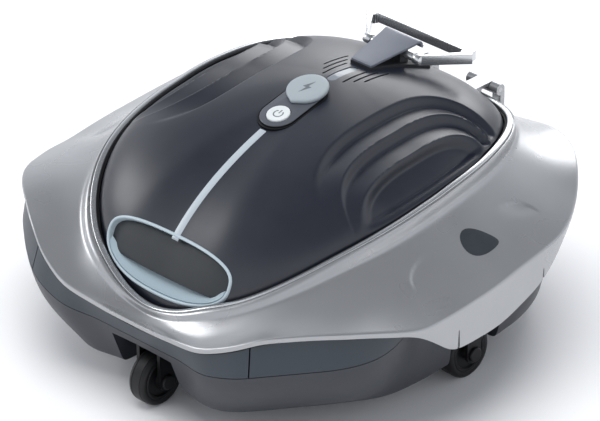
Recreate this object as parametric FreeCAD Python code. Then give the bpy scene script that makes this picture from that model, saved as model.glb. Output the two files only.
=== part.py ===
import FreeCAD, Part
import math
import os

Vector = FreeCAD.Vector

# Cordless pool cleaning robot. Millimetres, +Z up, front towards -Y, origin on the floor
# under the middle of the outline. Angles are measured in plan from the front (0), with
# positive angles on the +X side. Every outline is the same on both sides.

# --- outer shell: outline, crest height and how far the side skirt hangs below the crest
half_width = 199.0
half_length = 183.0
outline = ((0, 183), (12, 187), (18, 192.5), (22, 198), (26, 201), (30, 204), (36, 206.5), (44, 210),
           (49, 213.5), (54, 215.5), (58.5, 215), (63, 213.5), (68, 212), (73.5, 206), (81.5, 201),
           (90, 198.7), (97, 198.4), (105, 202), (112.5, 206.8), (123, 207), (132, 206), (140, 205),
           (148, 203), (154, 200), (159, 195), (168, 187), (180, 183))
crest_height = ((0, 80), (12, 81), (19, 83), (22, 86), (26, 91), (30, 97), (35.5, 106), (39, 109),
                (44, 112.5), (49, 115), (55, 115.5), (58.5, 114), (63, 111), (68, 108.5), (73.5, 108.5),
                (81, 111), (90, 114), (97, 117), (105, 120), (112, 123), (123, 131), (132, 139),
                (140, 141), (150, 138), (160, 131), (170, 126), (180, 124))
skirt_drop = ((0, 4.5), (62, 4.5), (67, 6), (70, 13), (73, 22), (76, 31), (85, 34.5), (93, 35), (99, 32),
              (104, 27.5), (108, 20), (113, 7), (118, 5), (180, 5))
shell_wall = 2.8
shell_dish = 2.5

# --- opening rim that the cover closes
rim_half_width = 133.5
rim_front = 162.7
rim_back = 159.0
rim_squareness = 2.4
rim_height = ((0, 84), (9, 89), (18, 100), (26, 108.5), (34, 119), (43, 131), (53, 142), (66, 151),
              (81, 158), (91, 161.5), (99, 164.5), (110, 167), (125, 168.5), (140, 165), (160, 155),
              (180, 150))
collar_drop = ((0, 5), (20, 6), (35, 8), (50, 10.5), (70, 12), (120, 12), (150, 8), (180, 7))
collar_width = ((0, 4.5), (15, 8), (30, 9.5), (50, 8), (90, 5), (130, 5), (180, 5))
rim_wall_depth = 9.0
rim_wall = 2.2
trim_width = 1.9
trim_rise = 0.9
gasket_width = 1.5
gasket_drop = 1.4
deck_drop = 6.4
deck_wall = 2.4
deck_width = 16.0
deck_clearance = 0.8
seat_gap = 0.05

# --- domed cover
cover_gap = 0.5
cover_wall = 3.0
apex_y = 38.0
apex_height = 200.5
dome_fullness = 1.85
dome_ease = 0.03
apex_share = 0.985
cover_edge_drop = 5.4
dome_rows = 14

# --- hull under the shell
hull_foot = ((0, 160), (12, 166.5), (20, 178), (26, 179), (33, 172), (42, 164), (54, 160), (66, 160),
             (78, 154), (90, 150), (102, 152), (114, 160), (126, 172), (138, 182), (150, 185), (160, 182),
             (168, 173), (180, 166))
wall_top = ((0, 181), (12, 185), (18, 190.5), (22, 196), (26, 199), (30, 202), (36, 204), (44, 207),
            (49, 209.8), (54, 210.8), (58.5, 209), (63, 203.5), (68, 193), (73.5, 175), (81.5, 161), (90, 157),
            (97, 158), (105, 165), (112.5, 182), (119, 198), (125, 204), (132, 204), (140, 203), (148, 201),
            (154, 198), (159, 193), (168, 185), (180, 181))
split_height = ((0, 59), (20, 62.5), (30, 71), (36, 77), (45, 83), (54, 87.5), (61, 91), (67, 98.5), (72, 110),
                (90, 112), (110, 112), (114, 104), (120, 86), (128, 74), (140, 66), (155, 61), (180, 60))
hull_fullness = ((0, 1.0), (14, 1.1), (22, 1.6), (30, 2.1), (40, 2.6), (58, 2.6), (66, 1.6), (72, 1.0),
                 (180, 1.0))
hull_swell = ((0, 0), (14, 0), (22, 4.5), (30, 9), (36, 9.5), (44, 8), (54, 6), (61, 2.5), (67, 0), (180, 0))
hull_bottom = 22.0
hull_step = 2.0
hull_rows = (0.1, 0.25, 0.42, 0.6, 0.8, 1.0)
hull_curve = 26.0
hull_joint = 0.6
hull_wall = 2.8
band_wall = 3.0
band_top_gap = 0.8
band_seam_angle = 33.0
band_end_angle = 66.0
band_seam_width = 0.7
pocket_top = 57.0
pocket_inset = 0.8

# --- wheels, forks and axles
wheel_radius = 21.5
wheel_width = 16.0
tyre_depth = 5.0
rim_flange_depth = 4.0
hub_radius = 6.5
axle_radius = 3.0
running_gap = 0.05
fork_gap = 1.3
fork_wall = 3.0
fork_leg_width = 15.0
fork_top_wall = 4.0
cap_radius = 6.0
cap_height = 2.4
caster_y = -158.0
side_wheel_x = 137.0
side_wheel_y = 29.0
well_ceiling = 52.0
well_half_length = 28.0
well_wall = 2.6
notch_half_width = 31.0
notch_back = -130.0
stem_radius = 5.0
stem_top = 66.0
boss_radius = 9.0
clip_wall = 1.2

# --- suction mouth, flap and brush strips
mouth_y = -6.0
mouth_width = 104.0
mouth_length = 34.0
mouth_wall = 2.4
mouth_top = 33.0
mouth_lip = 17.0
flap_wall = 2.0
flap_pin_radius = 1.4
brush_wall = 3.0
brush_gap = 7.0
brush_bottom = 3.0

# --- filter basket
basket_width = 150.0
basket_length = 132.0
basket_y = 8.0
basket_floor = 34.0
basket_top = 57.0
basket_wall = 2.4
basket_window_columns = 4
mesh_wall = 0.6

# --- pump under the cover
pump_y = 30.0
eye_radius = 15.0
volute_radius = 34.0
volute_bottom = 60.5
volute_top = 83.0
volute_wall = 2.4
impeller_radius = 25.0
impeller_gap = 1.5
impeller_blades = 6
impeller_blade_wall = 2.0
shaft_radius = 2.5
motor_radius = 19.0
motor_bottom = 88.0
motor_top = 138.0
outlet_width = 40.0
outlet_height = 16.0
outlet_end = 92.0
duct_gap = 0.8
duct_wall = 2.4
duct_half_width = 96.0
duct_length = 20.0

# --- rear jet nozzles
jet_angle = 138.0
jet_z = 86.0
jet_inner_radius = 152.0
jet_reach = 80.0
jet_port_width = 36.0
jet_port_height = 20.0
jet_wall = 3.0
jet_bezel = 1.0
jet_grille_radius = 182.0
jet_grille_wall = 2.4
jet_grille_bars = 4
jet_grille_bar = 1.8

# --- sealed power pod with battery, board and motor
pod_width = 96.0
pod_front = -50.0
pod_back = 66.0
pod_bottom = 112.0
pod_split = 150.0
pod_top = 166.0
pod_wall = 2.6
pod_corner = 12.0
post_radius = 4.0
post_x = 36.0
pod_gasket_wall = 1.6
motor_well_radius = 25.0
cell_radius = 9.0
cell_length = 65.0
cell_pitch = 18.6
cell_first_y = -38.0
cell_low_z = 124.5
cell_columns = 3
cell_rows = 2
board_width = 74.0
board_length = 52.0
board_wall = 1.6
board_y = -18.0
board_z = 155.0

# --- control plate, button and charging cap on the cover
plate_y = -12.0
plate_length = 62.0
plate_width = 34.0
plate_rise = 2.2
plate_recess = 2.0
plate_gap = 0.3
button_y = -27.0
button_radius = 9.0
button_rise = 1.0
button_clearance = 0.35
button_flange = 1.6
socket_y = 4.0
socket_radius = 6.0
socket_bore = 4.0
contact_radius = 0.6
flap_cap_y = 4.5
flap_cap_width = 35.0
flap_cap_length = 35.0
flap_cap_wall = 3.4
flap_cap_gap = 0.3
cap_crown = 0.8
cap_pin_radius = 0.9
cap_pin_inset = 1.6
cap_arm_inner = 5.0
cap_arm_width = 2.0
cap_arm_length = 8.0
cap_notch_gap = 0.3
cap_notch_length = 2.4
plug_length = 2.2

# --- light strip, vents and vent window
strip_width = 6.0
strip_depth = 1.2
strip_front_y = -137.5
strip_back_y = -45.0
slot_width = 1.6
slot_length = 27.0
slot_pitch = 5.3
slot_first_x = 10.4
slot_first_y = 31.0
slot_step_y = 6.3
slots_each_side = 3
window_width = 8.0
window_length = 30.0
window_y = 42.0

# --- grip recess with release paddle at the front of the cover
grip_y = -147.0
grip_z = 117.2
grip_tilt = 32.0
grip_width = 128.0
grip_top = 20.0
grip_bottom = 28.0
grip_top_power = 3.0
grip_bottom_power = 2.2
frame_border = 3.4
frame_rise = 1.4
grip_depth = 60.0
recess_depth = 12.0
panel_depth = 6.5
panel_wall = 2.4
paddle_height = 11.0
paddle_depth = 8.5
paddle_wall = 2.4
paddle_gap = 0.8
paddle_top_gap = 1.3
paddle_pin_radius = 1.5
paddle_barrel_radius = 2.8
paddle_barrel_half = 9.0
paddle_ear_wall = 3.0
paddle_ear_gap = 0.4
magnet_width = 18.0
magnet_length = 5.0
magnet_wall = 2.0
keeper_wall = 1.0

# --- lifting ring and its clip
ring_axis_y = 98.0
ring_axis_z = 199.5
ring_bar = 6.0
ring_bar_height = 8.0
ring_near_half = 21.8
ring_far_half = 62.0
ring_reach = 36.0
ring_boss_length = 7.2
ring_pivot_radius = 3.0
ring_corner = 4.5
clip_front_y = 62.0
clip_ridge_y = 108.0
clip_ridge_z = 208.5
clip_lip_y = 113.0
clip_lip_z = 202.5
clip_front_half = 10.0
clip_back_half = 18.3
clip_sheet = 2.2
clip_base_back_y = 118.0
clip_base_rise = 2.4
bearing_half = 11.0
bearing_radius = 4.5

# --- cover hinge at the back
hinge_y = 165.5
hinge_z = 157.0
hinge_radius = 4.6
hinge_pin_radius = 1.8
knuckle_length = 14.0
knuckle_gap = 0.5
knuckle_offset = 34.0
leaf_wall = 3.0
hinge_foot_depth = 15.0
hinge_arm_reach = 19.0
leaf_foot_drop = 1.2

# --- screws
screw_head_radius = 3.2
screw_head_height = 1.8
screw_shank_radius = 1.5
screw_length = 12.0
screw_post_top = 50.0

ring_count = 144
oval_count = 40


def smooth_value(table, angle):
    """Value of a table of (angle, value) stations, joined smoothly and mirrored about 0 and 180."""
    angle = abs((angle + 180.0) % 360.0 - 180.0)
    for index in range(len(table) - 1):
        if table[index][0] <= angle <= table[index + 1][0]:
            break
    low, high = table[index], table[index + 1]
    span = high[0] - low[0]

    def slope(place):
        if place <= 0 or place >= len(table) - 1:
            return 0.0
        before, after = table[place - 1], table[place + 1]
        return (after[1] - before[1]) / (after[0] - before[0])

    t = (angle - low[0]) / span
    start = (1 + 2 * t) * (1 - t) ** 2 * low[1] + t * (1 - t) ** 2 * span * slope(index)
    end = t * t * (3 - 2 * t) * high[1] + t * t * (t - 1) * span * slope(index + 1)
    return start + end


def in_plan(radius, angle, height):
    """Point at a plan radius and angle from the front."""
    turn = math.radians(angle)
    return Vector(radius * math.sin(turn), -radius * math.cos(turn), height)


def outline_radius(angle):
    """Plan radius of the shell's crest."""
    return scaled(smooth_value(outline, angle), angle)


def rim_radius(angle):
    turn = math.radians(angle)
    half = rim_front if math.cos(turn) > 0 else rim_back
    power = rim_squareness
    across = abs(math.sin(turn) / rim_half_width) ** power
    along = abs(math.cos(turn) / half) ** power
    return (across + along) ** (-1.0 / power)


def ring_face(rows):
    """Closed strip through rings of points: straight across two rows, curved across more."""
    across = len(rows)
    degree = 1 if across == 2 else 3
    count = len(rows[0])
    poles = [[rows[row][place] for row in range(across)] for place in range(count)]
    around_knots = list(range(count + 1))
    across_knots = list(range(across - degree + 1))
    across_mults = [degree + 1] + [1] * (len(across_knots) - 2) + [degree + 1]
    surface = Part.BSplineSurface()
    surface.buildFromPolesMultsKnots(poles, [1] * (count + 1), across_mults, around_knots, across_knots,
                                     True, False, 3, degree)
    return surface.toShape()


def close_faces(faces):
    shell = Part.makeShell(faces)
    shell.sewShape()
    solid = Part.Solid(shell)
    if solid.Volume < 0:
        solid.reverse()
    return solid


def ring_solid(section):
    """Ring whose section at each angle is a closed chain of segments of points."""
    step = 360.0 / ring_count
    sections = [section(step * place) for place in range(ring_count)]
    faces = []
    for segment in range(len(sections[0])):
        rows = []
        for row in range(len(sections[0][segment])):
            rows.append([each[segment][row] for each in sections])
        faces.append(ring_face(rows))
    return close_faces(faces)


def straight_ring(corners):
    """Ring whose section has straight sides: corners(angle) gives (radius, height) pairs."""
    def section(angle):
        points = [in_plan(radius, angle, height) for radius, height in corners(angle)]
        return [[points[k], points[(k + 1) % len(points)]] for k in range(len(points))]
    return ring_solid(section)


def box(x0, x1, y0, y1, z0, z1):
    return Part.makeBox(x1 - x0, y1 - y0, z1 - z0, Vector(x0, y0, z0))


def cylinder(radius, x, y, z0, z1):
    return Part.makeCylinder(radius, z1 - z0, Vector(x, y, z0))


def cross_cylinder(radius, x0, x1, y, z):
    return Part.makeCylinder(radius, x1 - x0, Vector(x0, y, z), Vector(1, 0, 0))


def rounded_box(x0, x1, y0, y1, z0, z1, corner):
    block = box(x0, x1, y0, y1, z0, z1)
    upright = [edge for edge in block.Edges if abs(edge.tangentAt(edge.FirstParameter).z) > 0.9]
    return block.makeFillet(corner, upright)


def stadium(length, width):
    """Flat face of a slot shape, long along Y, centred on the origin."""
    half = (length - width) / 2.0
    radius = width / 2.0
    right = Part.LineSegment(Vector(radius, -half, 0), Vector(radius, half, 0)).toShape()
    top = Part.Arc(Vector(radius, half, 0), Vector(0, half + radius, 0), Vector(-radius, half, 0)).toShape()
    left = Part.LineSegment(Vector(-radius, half, 0), Vector(-radius, -half, 0)).toShape()
    low = Part.Arc(Vector(-radius, -half, 0), Vector(0, -half - radius, 0), Vector(radius, -half, 0)).toShape()
    return Part.Face(Part.Wire([right, top, left, low]))


def upright_slot(length, width, x, y, z0, z1):
    face = stadium(length, width)
    face.translate(Vector(x, y, z0))
    return face.extrude(Vector(0, 0, z1 - z0))


def mirrored(shape):
    return shape.mirror(Vector(0, 0, 0), Vector(1, 0, 0))


def both_sides(shape):
    return Part.makeCompound([shape, mirrored(shape)])


# ---------------------------------------------------------------- shell

def shell_section(angle):
    rim_r = rim_radius(angle)
    rim_z = smooth_value(rim_height, angle)
    edge_r = outline_radius(angle)
    edge_z = smooth_value(crest_height, angle)
    drop = smooth_value(collar_drop, angle)
    hang = smooth_value(skirt_drop, angle)
    fold_r = rim_r + smooth_value(collar_width, angle)
    fold_z = rim_z - drop

    def top(share, sink):
        dish = shell_dish * math.sin(math.pi * share)
        return (fold_r + (edge_r - fold_r) * share, fold_z + (edge_z - fold_z) * share - dish - sink)

    run = math.hypot(edge_r - fold_r, edge_z - fold_z)
    lean = (edge_r - fold_r) / run
    outward = (fold_z - edge_z) / run
    outer = [(rim_r, rim_z), (rim_r + 1.5, rim_z + 0.4), (fold_r - 1.0, rim_z - 1.5), (fold_r, fold_z)]
    outer += [top(share, 0.0) for share in (0.12, 0.35, 0.6, 0.85)] + [(edge_r, edge_z)]
    skirt = [(edge_r, edge_z), (edge_r - 0.6, edge_z - hang)]
    foot = [skirt[1], (edge_r - 0.6 - shell_wall, edge_z - hang)]
    inner_edge = (edge_r - shell_wall - 0.2, edge_z - shell_wall - 0.4)
    inside = [foot[1], inner_edge]
    under = [inner_edge]
    for share in (0.85, 0.6, 0.35, 0.12):
        radius, height = top(share, 0.0)
        under.append((radius - shell_wall * outward, height - shell_wall * lean))
    under.append((fold_r - shell_wall * 0.75, fold_z - shell_wall * 0.5))
    under.append((rim_r + rim_wall, rim_z - rim_wall_depth * 0.8))
    under += [(rim_r + rim_wall, rim_z - rim_wall_depth)]
    sill = [under[-1], (rim_r, rim_z - rim_wall_depth)]
    wall = [sill[1], outer[0]]
    chain = [outer, skirt, foot, inside, under, sill, wall]
    return [[in_plan(radius, angle, height) for radius, height in segment] for segment in chain]


def shell_underside(angle, radius):
    """Height of the shell's inner face over a plan radius outside the rim's collar."""
    fold_r = rim_radius(angle) + smooth_value(collar_width, angle)
    fold_z = smooth_value(rim_height, angle) - smooth_value(collar_drop, angle)
    edge_r = outline_radius(angle)
    edge_z = smooth_value(crest_height, angle)
    share = max(0.0, min(1.0, (radius - fold_r) / (edge_r - fold_r)))
    run = math.hypot(edge_r - fold_r, edge_z - fold_z)
    height = fold_z + (edge_z - fold_z) * share - shell_dish
    return height - shell_wall * run / (edge_r - fold_r)


def make_shell():
    return ring_solid(shell_section)


def make_rim_trim():
    def corners(angle):
        radius = rim_radius(angle) - seat_gap
        height = smooth_value(rim_height, angle)
        inner = radius - trim_width
        bottom = height - deck_drop + seat_gap
        return ((radius, bottom), (radius, height + trim_rise), (inner, height + trim_rise), (inner, bottom))
    return straight_ring(corners)


def make_rim_gasket():
    def corners(angle):
        radius = rim_radius(angle) - trim_width - 2 * seat_gap
        height = smooth_value(rim_height, angle)
        inner = radius - gasket_width
        top = height - gasket_drop
        bottom = height - deck_drop + seat_gap
        return ((radius, bottom), (radius, top), (inner, top), (inner, bottom))
    return straight_ring(corners)


def make_deck():
    def corners(angle):
        radius = rim_radius(angle) - seat_gap
        top = smooth_value(rim_height, angle) - deck_drop
        inner = radius - deck_width
        return ((radius, top - deck_wall), (radius, top), (inner, top), (inner, top - deck_wall))
    return straight_ring(corners)


# ---------------------------------------------------------------- hull

def scaled(radius, angle):
    """Plan radius after the half width and half length have stretched it."""
    turn = math.radians(angle)
    across = radius * math.sin(turn) * half_width / 199.0
    along = radius * math.cos(turn) * half_length / 183.0
    return math.hypot(across, along)


def wall_head(angle):
    """Plan radius and height where the hull's wall meets the shell from below."""
    radius = scaled(smooth_value(wall_top, angle), angle)
    lip = smooth_value(crest_height, angle) - 1.5
    return radius, min(lip, shell_underside(angle, radius) - band_top_gap)


def wall_radius(angle, height):
    foot = scaled(smooth_value(hull_foot, angle), angle)
    head, top = wall_head(angle)
    share = max(0.0, (height - hull_curve) / (top - hull_curve))
    fullness = max(1.0, smooth_value(hull_fullness, angle))
    swell = max(0.0, smooth_value(hull_swell, angle)) * math.sin(math.pi * min(share, 1.0))
    return foot + (head - foot) * (1.0 - max(0.0, 1.0 - share) ** fullness) + swell


def split_at(angle):
    return min(smooth_value(split_height, angle), wall_head(angle)[1])


def foot_rows(angle, shrink, rise):
    """Rounded lower edge of the hull from its flat floor up to the wall."""
    foot = scaled(smooth_value(hull_foot, angle), angle) - shrink
    low = hull_bottom + rise
    return [(foot - 10.0, low), (foot - 3.5, low), (foot - 0.6, hull_curve + rise - 1.5)]


def ring_rows(section):
    step = 360.0 / ring_count
    sections = [section(step * place) for place in range(ring_count)]
    rows = []
    for row in range(len(sections[0])):
        rows.append([in_plan(each[row][0], step * place, each[row][1]) for place, each in enumerate(sections)])
    return rows


def flat_face(face, level):
    """Flat face inside the ring edge that lies at a height."""
    for edge in face.Edges:
        box_now = edge.BoundBox
        if edge.Closed and box_now.ZLength < 0.01 and abs(box_now.ZMin - level) < 0.01:
            return Part.Face(Part.Wire([edge]))
    raise ValueError("no flat edge")


def hull_bulk(grow, top):
    """Everything inside the hull's outer face, up to a flat top."""
    def section(angle):
        rows = [(radius + grow, height - grow) for radius, height in foot_rows(angle, 0.0, 0.0)]
        head, height = wall_head(angle)
        for share in hull_rows:
            level = hull_curve + (min(top, height) - hull_curve) * share
            rows.append((wall_radius(angle, level) + grow, level))
        return rows

    rows = ring_rows(section)
    side = ring_face(rows)
    upper = ring_face([rows[-1], [Vector(point.x, point.y, top + 1.0) for point in rows[-1]]])
    return close_faces([side, upper, flat_face(side, hull_bottom - grow), flat_face(upper, top + 1.0)])


def wheel_well(grow, top):
    x0 = side_wheel_x - wheel_width / 2.0 - fork_gap - fork_wall - 3.5 - grow
    y0 = side_wheel_y - well_half_length - grow
    y1 = side_wheel_y + well_half_length + grow
    return both_sides(box(x0, half_width, y0, y1, -1.0, top))


def caster_notch(grow, top):
    half = notch_half_width + grow
    return box(-half, half, -half_length - 20.0, notch_back + grow, -1.0, top)


def hull_tub():
    """Floor and outer wall of the hull, with the wall's upper edge on the split line."""
    def outer(angle):
        rows = foot_rows(angle, 0.0, 0.0)
        top = split_at(angle)
        levels = [hull_curve + (top - hull_curve) * share for share in hull_rows]
        return rows + [(wall_radius(angle, level), level) for level in levels]

    def inner(angle):
        rows = foot_rows(angle, hull_wall, hull_wall)
        top = split_at(angle)
        low = hull_curve + hull_step
        levels = [low + (top - low) * share for share in hull_rows]
        return rows + [(wall_radius(angle, level) - hull_wall, level) for level in levels]

    outer_rows, inner_rows = ring_rows(outer), ring_rows(inner)
    outer_face, inner_face = ring_face(outer_rows), ring_face(inner_rows)
    lip = ring_face([outer_rows[-1], inner_rows[-1]])
    floors = [flat_face(outer_face, hull_bottom), flat_face(inner_face, hull_bottom + hull_wall)]
    return close_faces([outer_face, inner_face, lip] + floors)


def make_lower_hull():
    hull = hull_tub()
    bulk = hull_bulk(-pocket_inset, pocket_top)
    ceiling = well_ceiling + well_wall
    pockets = wheel_well(well_wall, ceiling).fuse(caster_notch(well_wall, ceiling))
    hull = hull.fuse(bulk.common(pockets))
    hull = hull.fuse(cylinder(boss_radius, 0.0, caster_y, well_ceiling, stem_top - 2.0))
    hull = hull.cut(wheel_well(0.0, well_ceiling)).cut(caster_notch(0.0, well_ceiling))
    hull = hull.cut(cylinder(stem_radius + running_gap, 0.0, caster_y, 0.0, stem_top + 1.0))
    mouth = box(-mouth_width / 2.0, mouth_width / 2.0, mouth_y - mouth_length / 2.0,
                mouth_y + mouth_length / 2.0, 0.0, hull_bottom + 2 * hull_wall)
    hull = hull.cut(mouth)
    for x, y in hull_screw_places():
        hull = hull.fuse(cylinder(screw_head_radius + 1.6, x, y, hull_bottom, screw_post_top))
        hull = hull.cut(cylinder(screw_shank_radius, x, y, 0.0, screw_post_top + 1.0))
        hull = hull.cut(cylinder(screw_head_radius + 0.3, x, y, 0.0, hull_bottom + screw_head_height + 0.4))
    return hull.removeSplitter()


def hull_screw_places():
    return [(side * x, y) for side in (-1, 1) for x, y in ((92.0, -108.0), (96.0, 104.0), (60.0, 138.0))]


def make_hull_screws():
    screws = []
    for x, y in hull_screw_places():
        top = hull_bottom + screw_head_height + 0.4
        head = cylinder(screw_head_radius, x, y, top - screw_head_height, top)
        shank = cylinder(screw_shank_radius, x, y, top, top + screw_length)
        screws.append(head.fuse(shank))
    return Part.makeCompound(screws)


def make_band_ring():
    """Wall of the bumper band between the split line and the shell, before it is divided."""
    def corners(angle):
        head, top = wall_head(angle)
        low = min(split_at(angle) + hull_joint, top - 1.0)
        inner = wall_radius(angle, low) - band_wall
        return ((wall_radius(angle, low), low), (head, top), (head - band_wall, top), (inner, low))
    return straight_ring(corners)


def wedge(start, end):
    """Tall prism over a sector of the plan, used to divide the bumper band."""
    reach = 2.2 * max(half_width, half_length)
    steps = [start + (end - start) * k / 6.0 for k in range(7)]
    points = [Vector(0, 0, 0)] + [in_plan(reach, angle, 0.0) for angle in steps] + [Vector(0, 0, 0)]
    return Part.Face(Part.makePolygon(points)).extrude(Vector(0, 0, 2 * apex_height))


def make_bands():
    """Front and rear bands, and the four corner panels between them and the wings."""
    ring = make_band_ring()
    for side in (-1, 1):
        ring = ring.cut(jet_frame(jet_tube(jet_wall + seat_gap), side))
    seam = math.degrees(band_seam_width / rim_half_width) / 2.0
    front, end = band_seam_angle, band_end_angle
    corners = []
    for quarter in ((front, end), (180.0 - end, 180.0 - front)):
        for start, finish in (quarter, (quarter[0] + 180.0, quarter[1] + 180.0)):
            corners += ring.common(wedge(start + seam, finish - seam)).Solids
    return {
        "front_bumper_band": ring.common(wedge(seam - front, front - seam)),
        "rear_bumper_band": ring.common(wedge(180.0 - front + seam, 180.0 + front - seam)),
        "corner_bumper_panels": Part.makeCompound(corners),
    }


# ---------------------------------------------------------------- wheels

def make_wheel(x, y):
    """Hub with a hollow face and a rubber tyre, axle across X at wheel height."""
    z = wheel_radius
    half = wheel_width / 2.0
    inner = wheel_radius - tyre_depth
    hub = cross_cylinder(inner, x - half + 0.6, x + half - 0.6, y, z)
    hollow = cross_cylinder(inner - 2.4, x - half, x - half + rim_flange_depth, y, z)
    hollow = hollow.cut(cross_cylinder(hub_radius, x - half, x - half + rim_flange_depth, y, z))
    hub = hub.cut(hollow).cut(hollow.mirror(Vector(x, y, z), Vector(1, 0, 0)))
    hub = hub.fuse(cross_cylinder(hub_radius, x - half - 0.5, x + half + 0.5, y, z))
    hub = hub.cut(cross_cylinder(axle_radius + running_gap, x - wheel_width, x + wheel_width, y, z))
    tyre = cross_cylinder(wheel_radius, x - half, x + half, y, z)
    tyre = tyre.makeFillet(1.8, [edge for edge in tyre.Edges if edge.Closed and edge.Length > 1])
    tyre = tyre.cut(cross_cylinder(inner, x - wheel_width, x + wheel_width, y, z))
    return hub, tyre


def make_fork(x, y, top):
    """Fork of two legs and a bridge over one wheel."""
    z = wheel_radius
    inner = wheel_width / 2.0 + fork_gap
    outer = inner + fork_wall
    fork = box(x - outer, x + outer, y - fork_leg_width / 2.0, y + fork_leg_width / 2.0,
               top - fork_top_wall, top)
    for side in (-1, 1):
        low, high = sorted((x + side * inner, x + side * outer))
        leg = box(low, high, y - fork_leg_width / 2.0, y + fork_leg_width / 2.0, z, top)
        fork = fork.fuse(leg).fuse(cross_cylinder(fork_leg_width / 2.0, low, high, y, z))
    return fork.cut(cross_cylinder(axle_radius, x - 2 * outer, x + 2 * outer, y, z)).removeSplitter()


def make_axle(x, y):
    """Axle pressed through both fork legs, with a domed cap at each end."""
    half = wheel_width / 2.0 + fork_gap + fork_wall
    axle = cross_cylinder(axle_radius, x - half, x + half, y, wheel_radius)
    for side in (-1, 1):
        low, high = sorted((x + side * half, x + side * (half + cap_height)))
        cap = cross_cylinder(cap_radius, low, high, y, wheel_radius)
        face = high if side > 0 else low
        rim = [edge for edge in cap.Edges if edge.Closed and abs(edge.CenterOfMass.x - face) < 0.01]
        axle = axle.fuse(cap.makeFillet(1.2, rim))
    return axle.removeSplitter()


def make_caster_fork():
    top = well_ceiling - 1.5
    fork = make_fork(0.0, caster_y, top)
    fork = fork.fuse(cylinder(stem_radius + 3.5, 0.0, caster_y, top - 1.0, top + 1.0))
    return fork.fuse(cylinder(stem_radius, 0.0, caster_y, top, stem_top)).removeSplitter()


def make_caster_clip():
    bottom = stem_top - 2.0 + 0.4
    disc = cylinder(boss_radius - 1.0, 0.0, caster_y, bottom, bottom + clip_wall)
    return disc.cut(cylinder(stem_radius, 0.0, caster_y, bottom - 1.0, bottom + 2 * clip_wall))


# ---------------------------------------------------------------- suction mouth and basket

def make_suction_mouth():
    half_w = mouth_width / 2.0 - seat_gap
    half_l = mouth_length / 2.0 - seat_gap
    y0, y1 = mouth_y - half_l, mouth_y + half_l
    mouth = box(-half_w, half_w, y0, y1, mouth_lip, mouth_top)
    mouth = mouth.cut(box(-half_w + mouth_wall, half_w - mouth_wall, y0 + mouth_wall, y1 - mouth_wall,
                          mouth_lip - 1.0, mouth_top + 1.0))
    pin_y = y0 + mouth_wall / 2.0
    for side in (-1, 1):
        x = side * (half_w - mouth_wall / 2.0)
        x0, x1 = x - mouth_wall / 2.0, x + mouth_wall / 2.0
        ear = box(x0, x1, pin_y - 3.0, pin_y + 3.0, mouth_top, flap_axis_z() + 3.0)
        mouth = mouth.fuse(ear)
    hole = cross_cylinder(flap_pin_radius + running_gap, -half_w - 1.0, half_w + 1.0, pin_y, flap_axis_z())
    return mouth.cut(hole).removeSplitter()


def flap_axis_z():
    return mouth_top + 2.6


def flap_axis_y():
    return mouth_y - mouth_length / 2.0 + seat_gap + mouth_wall / 2.0


def make_inlet_flap():
    half_w = mouth_width / 2.0 - seat_gap
    y1 = mouth_y + mouth_length / 2.0 - 0.5
    z = mouth_top + 0.4
    reach = half_w - mouth_wall - 0.5
    plate = box(-reach, reach, flap_axis_y(), y1, z, z + flap_wall)
    barrel = cross_cylinder(2.2, -reach, reach, flap_axis_y(), flap_axis_z())
    pin = cross_cylinder(flap_pin_radius, -half_w, half_w, flap_axis_y(), flap_axis_z())
    return plate.fuse(barrel).fuse(pin).removeSplitter()


def make_brush_strips():
    strips = []
    for side in (-1, 1):
        y = mouth_y + side * (mouth_length / 2.0 + brush_gap)
        y0, y1 = y - brush_wall / 2.0, y + brush_wall / 2.0
        strips.append(box(-mouth_width / 2.0, mouth_width / 2.0, y0, y1, brush_bottom, hull_bottom - seat_gap))
    return Part.makeCompound(strips)


def basket_box(grow, z0, z1):
    half = basket_width / 2.0 + grow
    return rounded_box(-half, half, basket_y - basket_length / 2.0 - grow,
                       basket_y + basket_length / 2.0 + grow, z0, z1, 14.0 + grow)


def make_filter_basket():
    tray = basket_box(0.0, basket_floor, basket_top).cut(
        basket_box(-basket_wall, basket_floor + basket_wall, basket_top + 1.0))
    half_w = mouth_width / 2.0 + seat_gap
    y0, y1 = mouth_y - mouth_length / 2.0 - 3.0, mouth_y + mouth_length / 2.0 + seat_gap
    tray = tray.cut(box(-half_w, half_w, y0, y1, basket_floor - 1.0, basket_floor + 2 * basket_wall))
    for window in basket_windows():
        tray = tray.cut(window)
    return tray.removeSplitter()


def basket_windows():
    """Openings along the long sides of the basket, which the mesh covers."""
    windows = []
    pitch = basket_length / basket_window_columns
    low = basket_floor + basket_wall + 2.5
    for column in range(basket_window_columns):
        y = basket_y - basket_length / 2.0 + pitch * (column + 0.5)
        half = pitch / 2.0 - 4.0
        windows.append(box(-basket_width, basket_width, y - half, y + half, low, basket_top - 3.5))
    return windows


def make_filter_mesh():
    """Fine mesh lining pressed against the inside of the basket's windowed sides."""
    panels = []
    low = basket_floor + basket_wall + 0.5
    half = basket_width / 2.0 - basket_wall - seat_gap
    y0, y1 = basket_y - basket_length / 2.0 + 15.0, basket_y + basket_length / 2.0 - 15.0
    for side in (-1, 1):
        x0, x1 = sorted((side * half, side * (half - mesh_wall)))
        panels.append(box(x0, x1, y0, y1, low, basket_top - 1.0))
    return Part.makeCompound(panels)


def make_filter_lid():
    lid = basket_box(0.0, basket_top + seat_gap, basket_top + basket_wall)
    lid = lid.cut(cylinder(eye_radius, 0.0, pump_y, basket_top - 1.0, basket_top + 2 * basket_wall))
    pitch = basket_width / 3.0
    for column in (-1, 0, 1):
        x = column * pitch
        lid = lid.cut(box(x - pitch / 2.0 + 5.0, x + pitch / 2.0 - 5.0, basket_y - basket_length / 2.0 + 9.0,
                          basket_y - basket_length / 2.0 + 44.0, basket_top - 1.0, basket_top + 2 * basket_wall))
    return lid.removeSplitter()


# ---------------------------------------------------------------- pump

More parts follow.
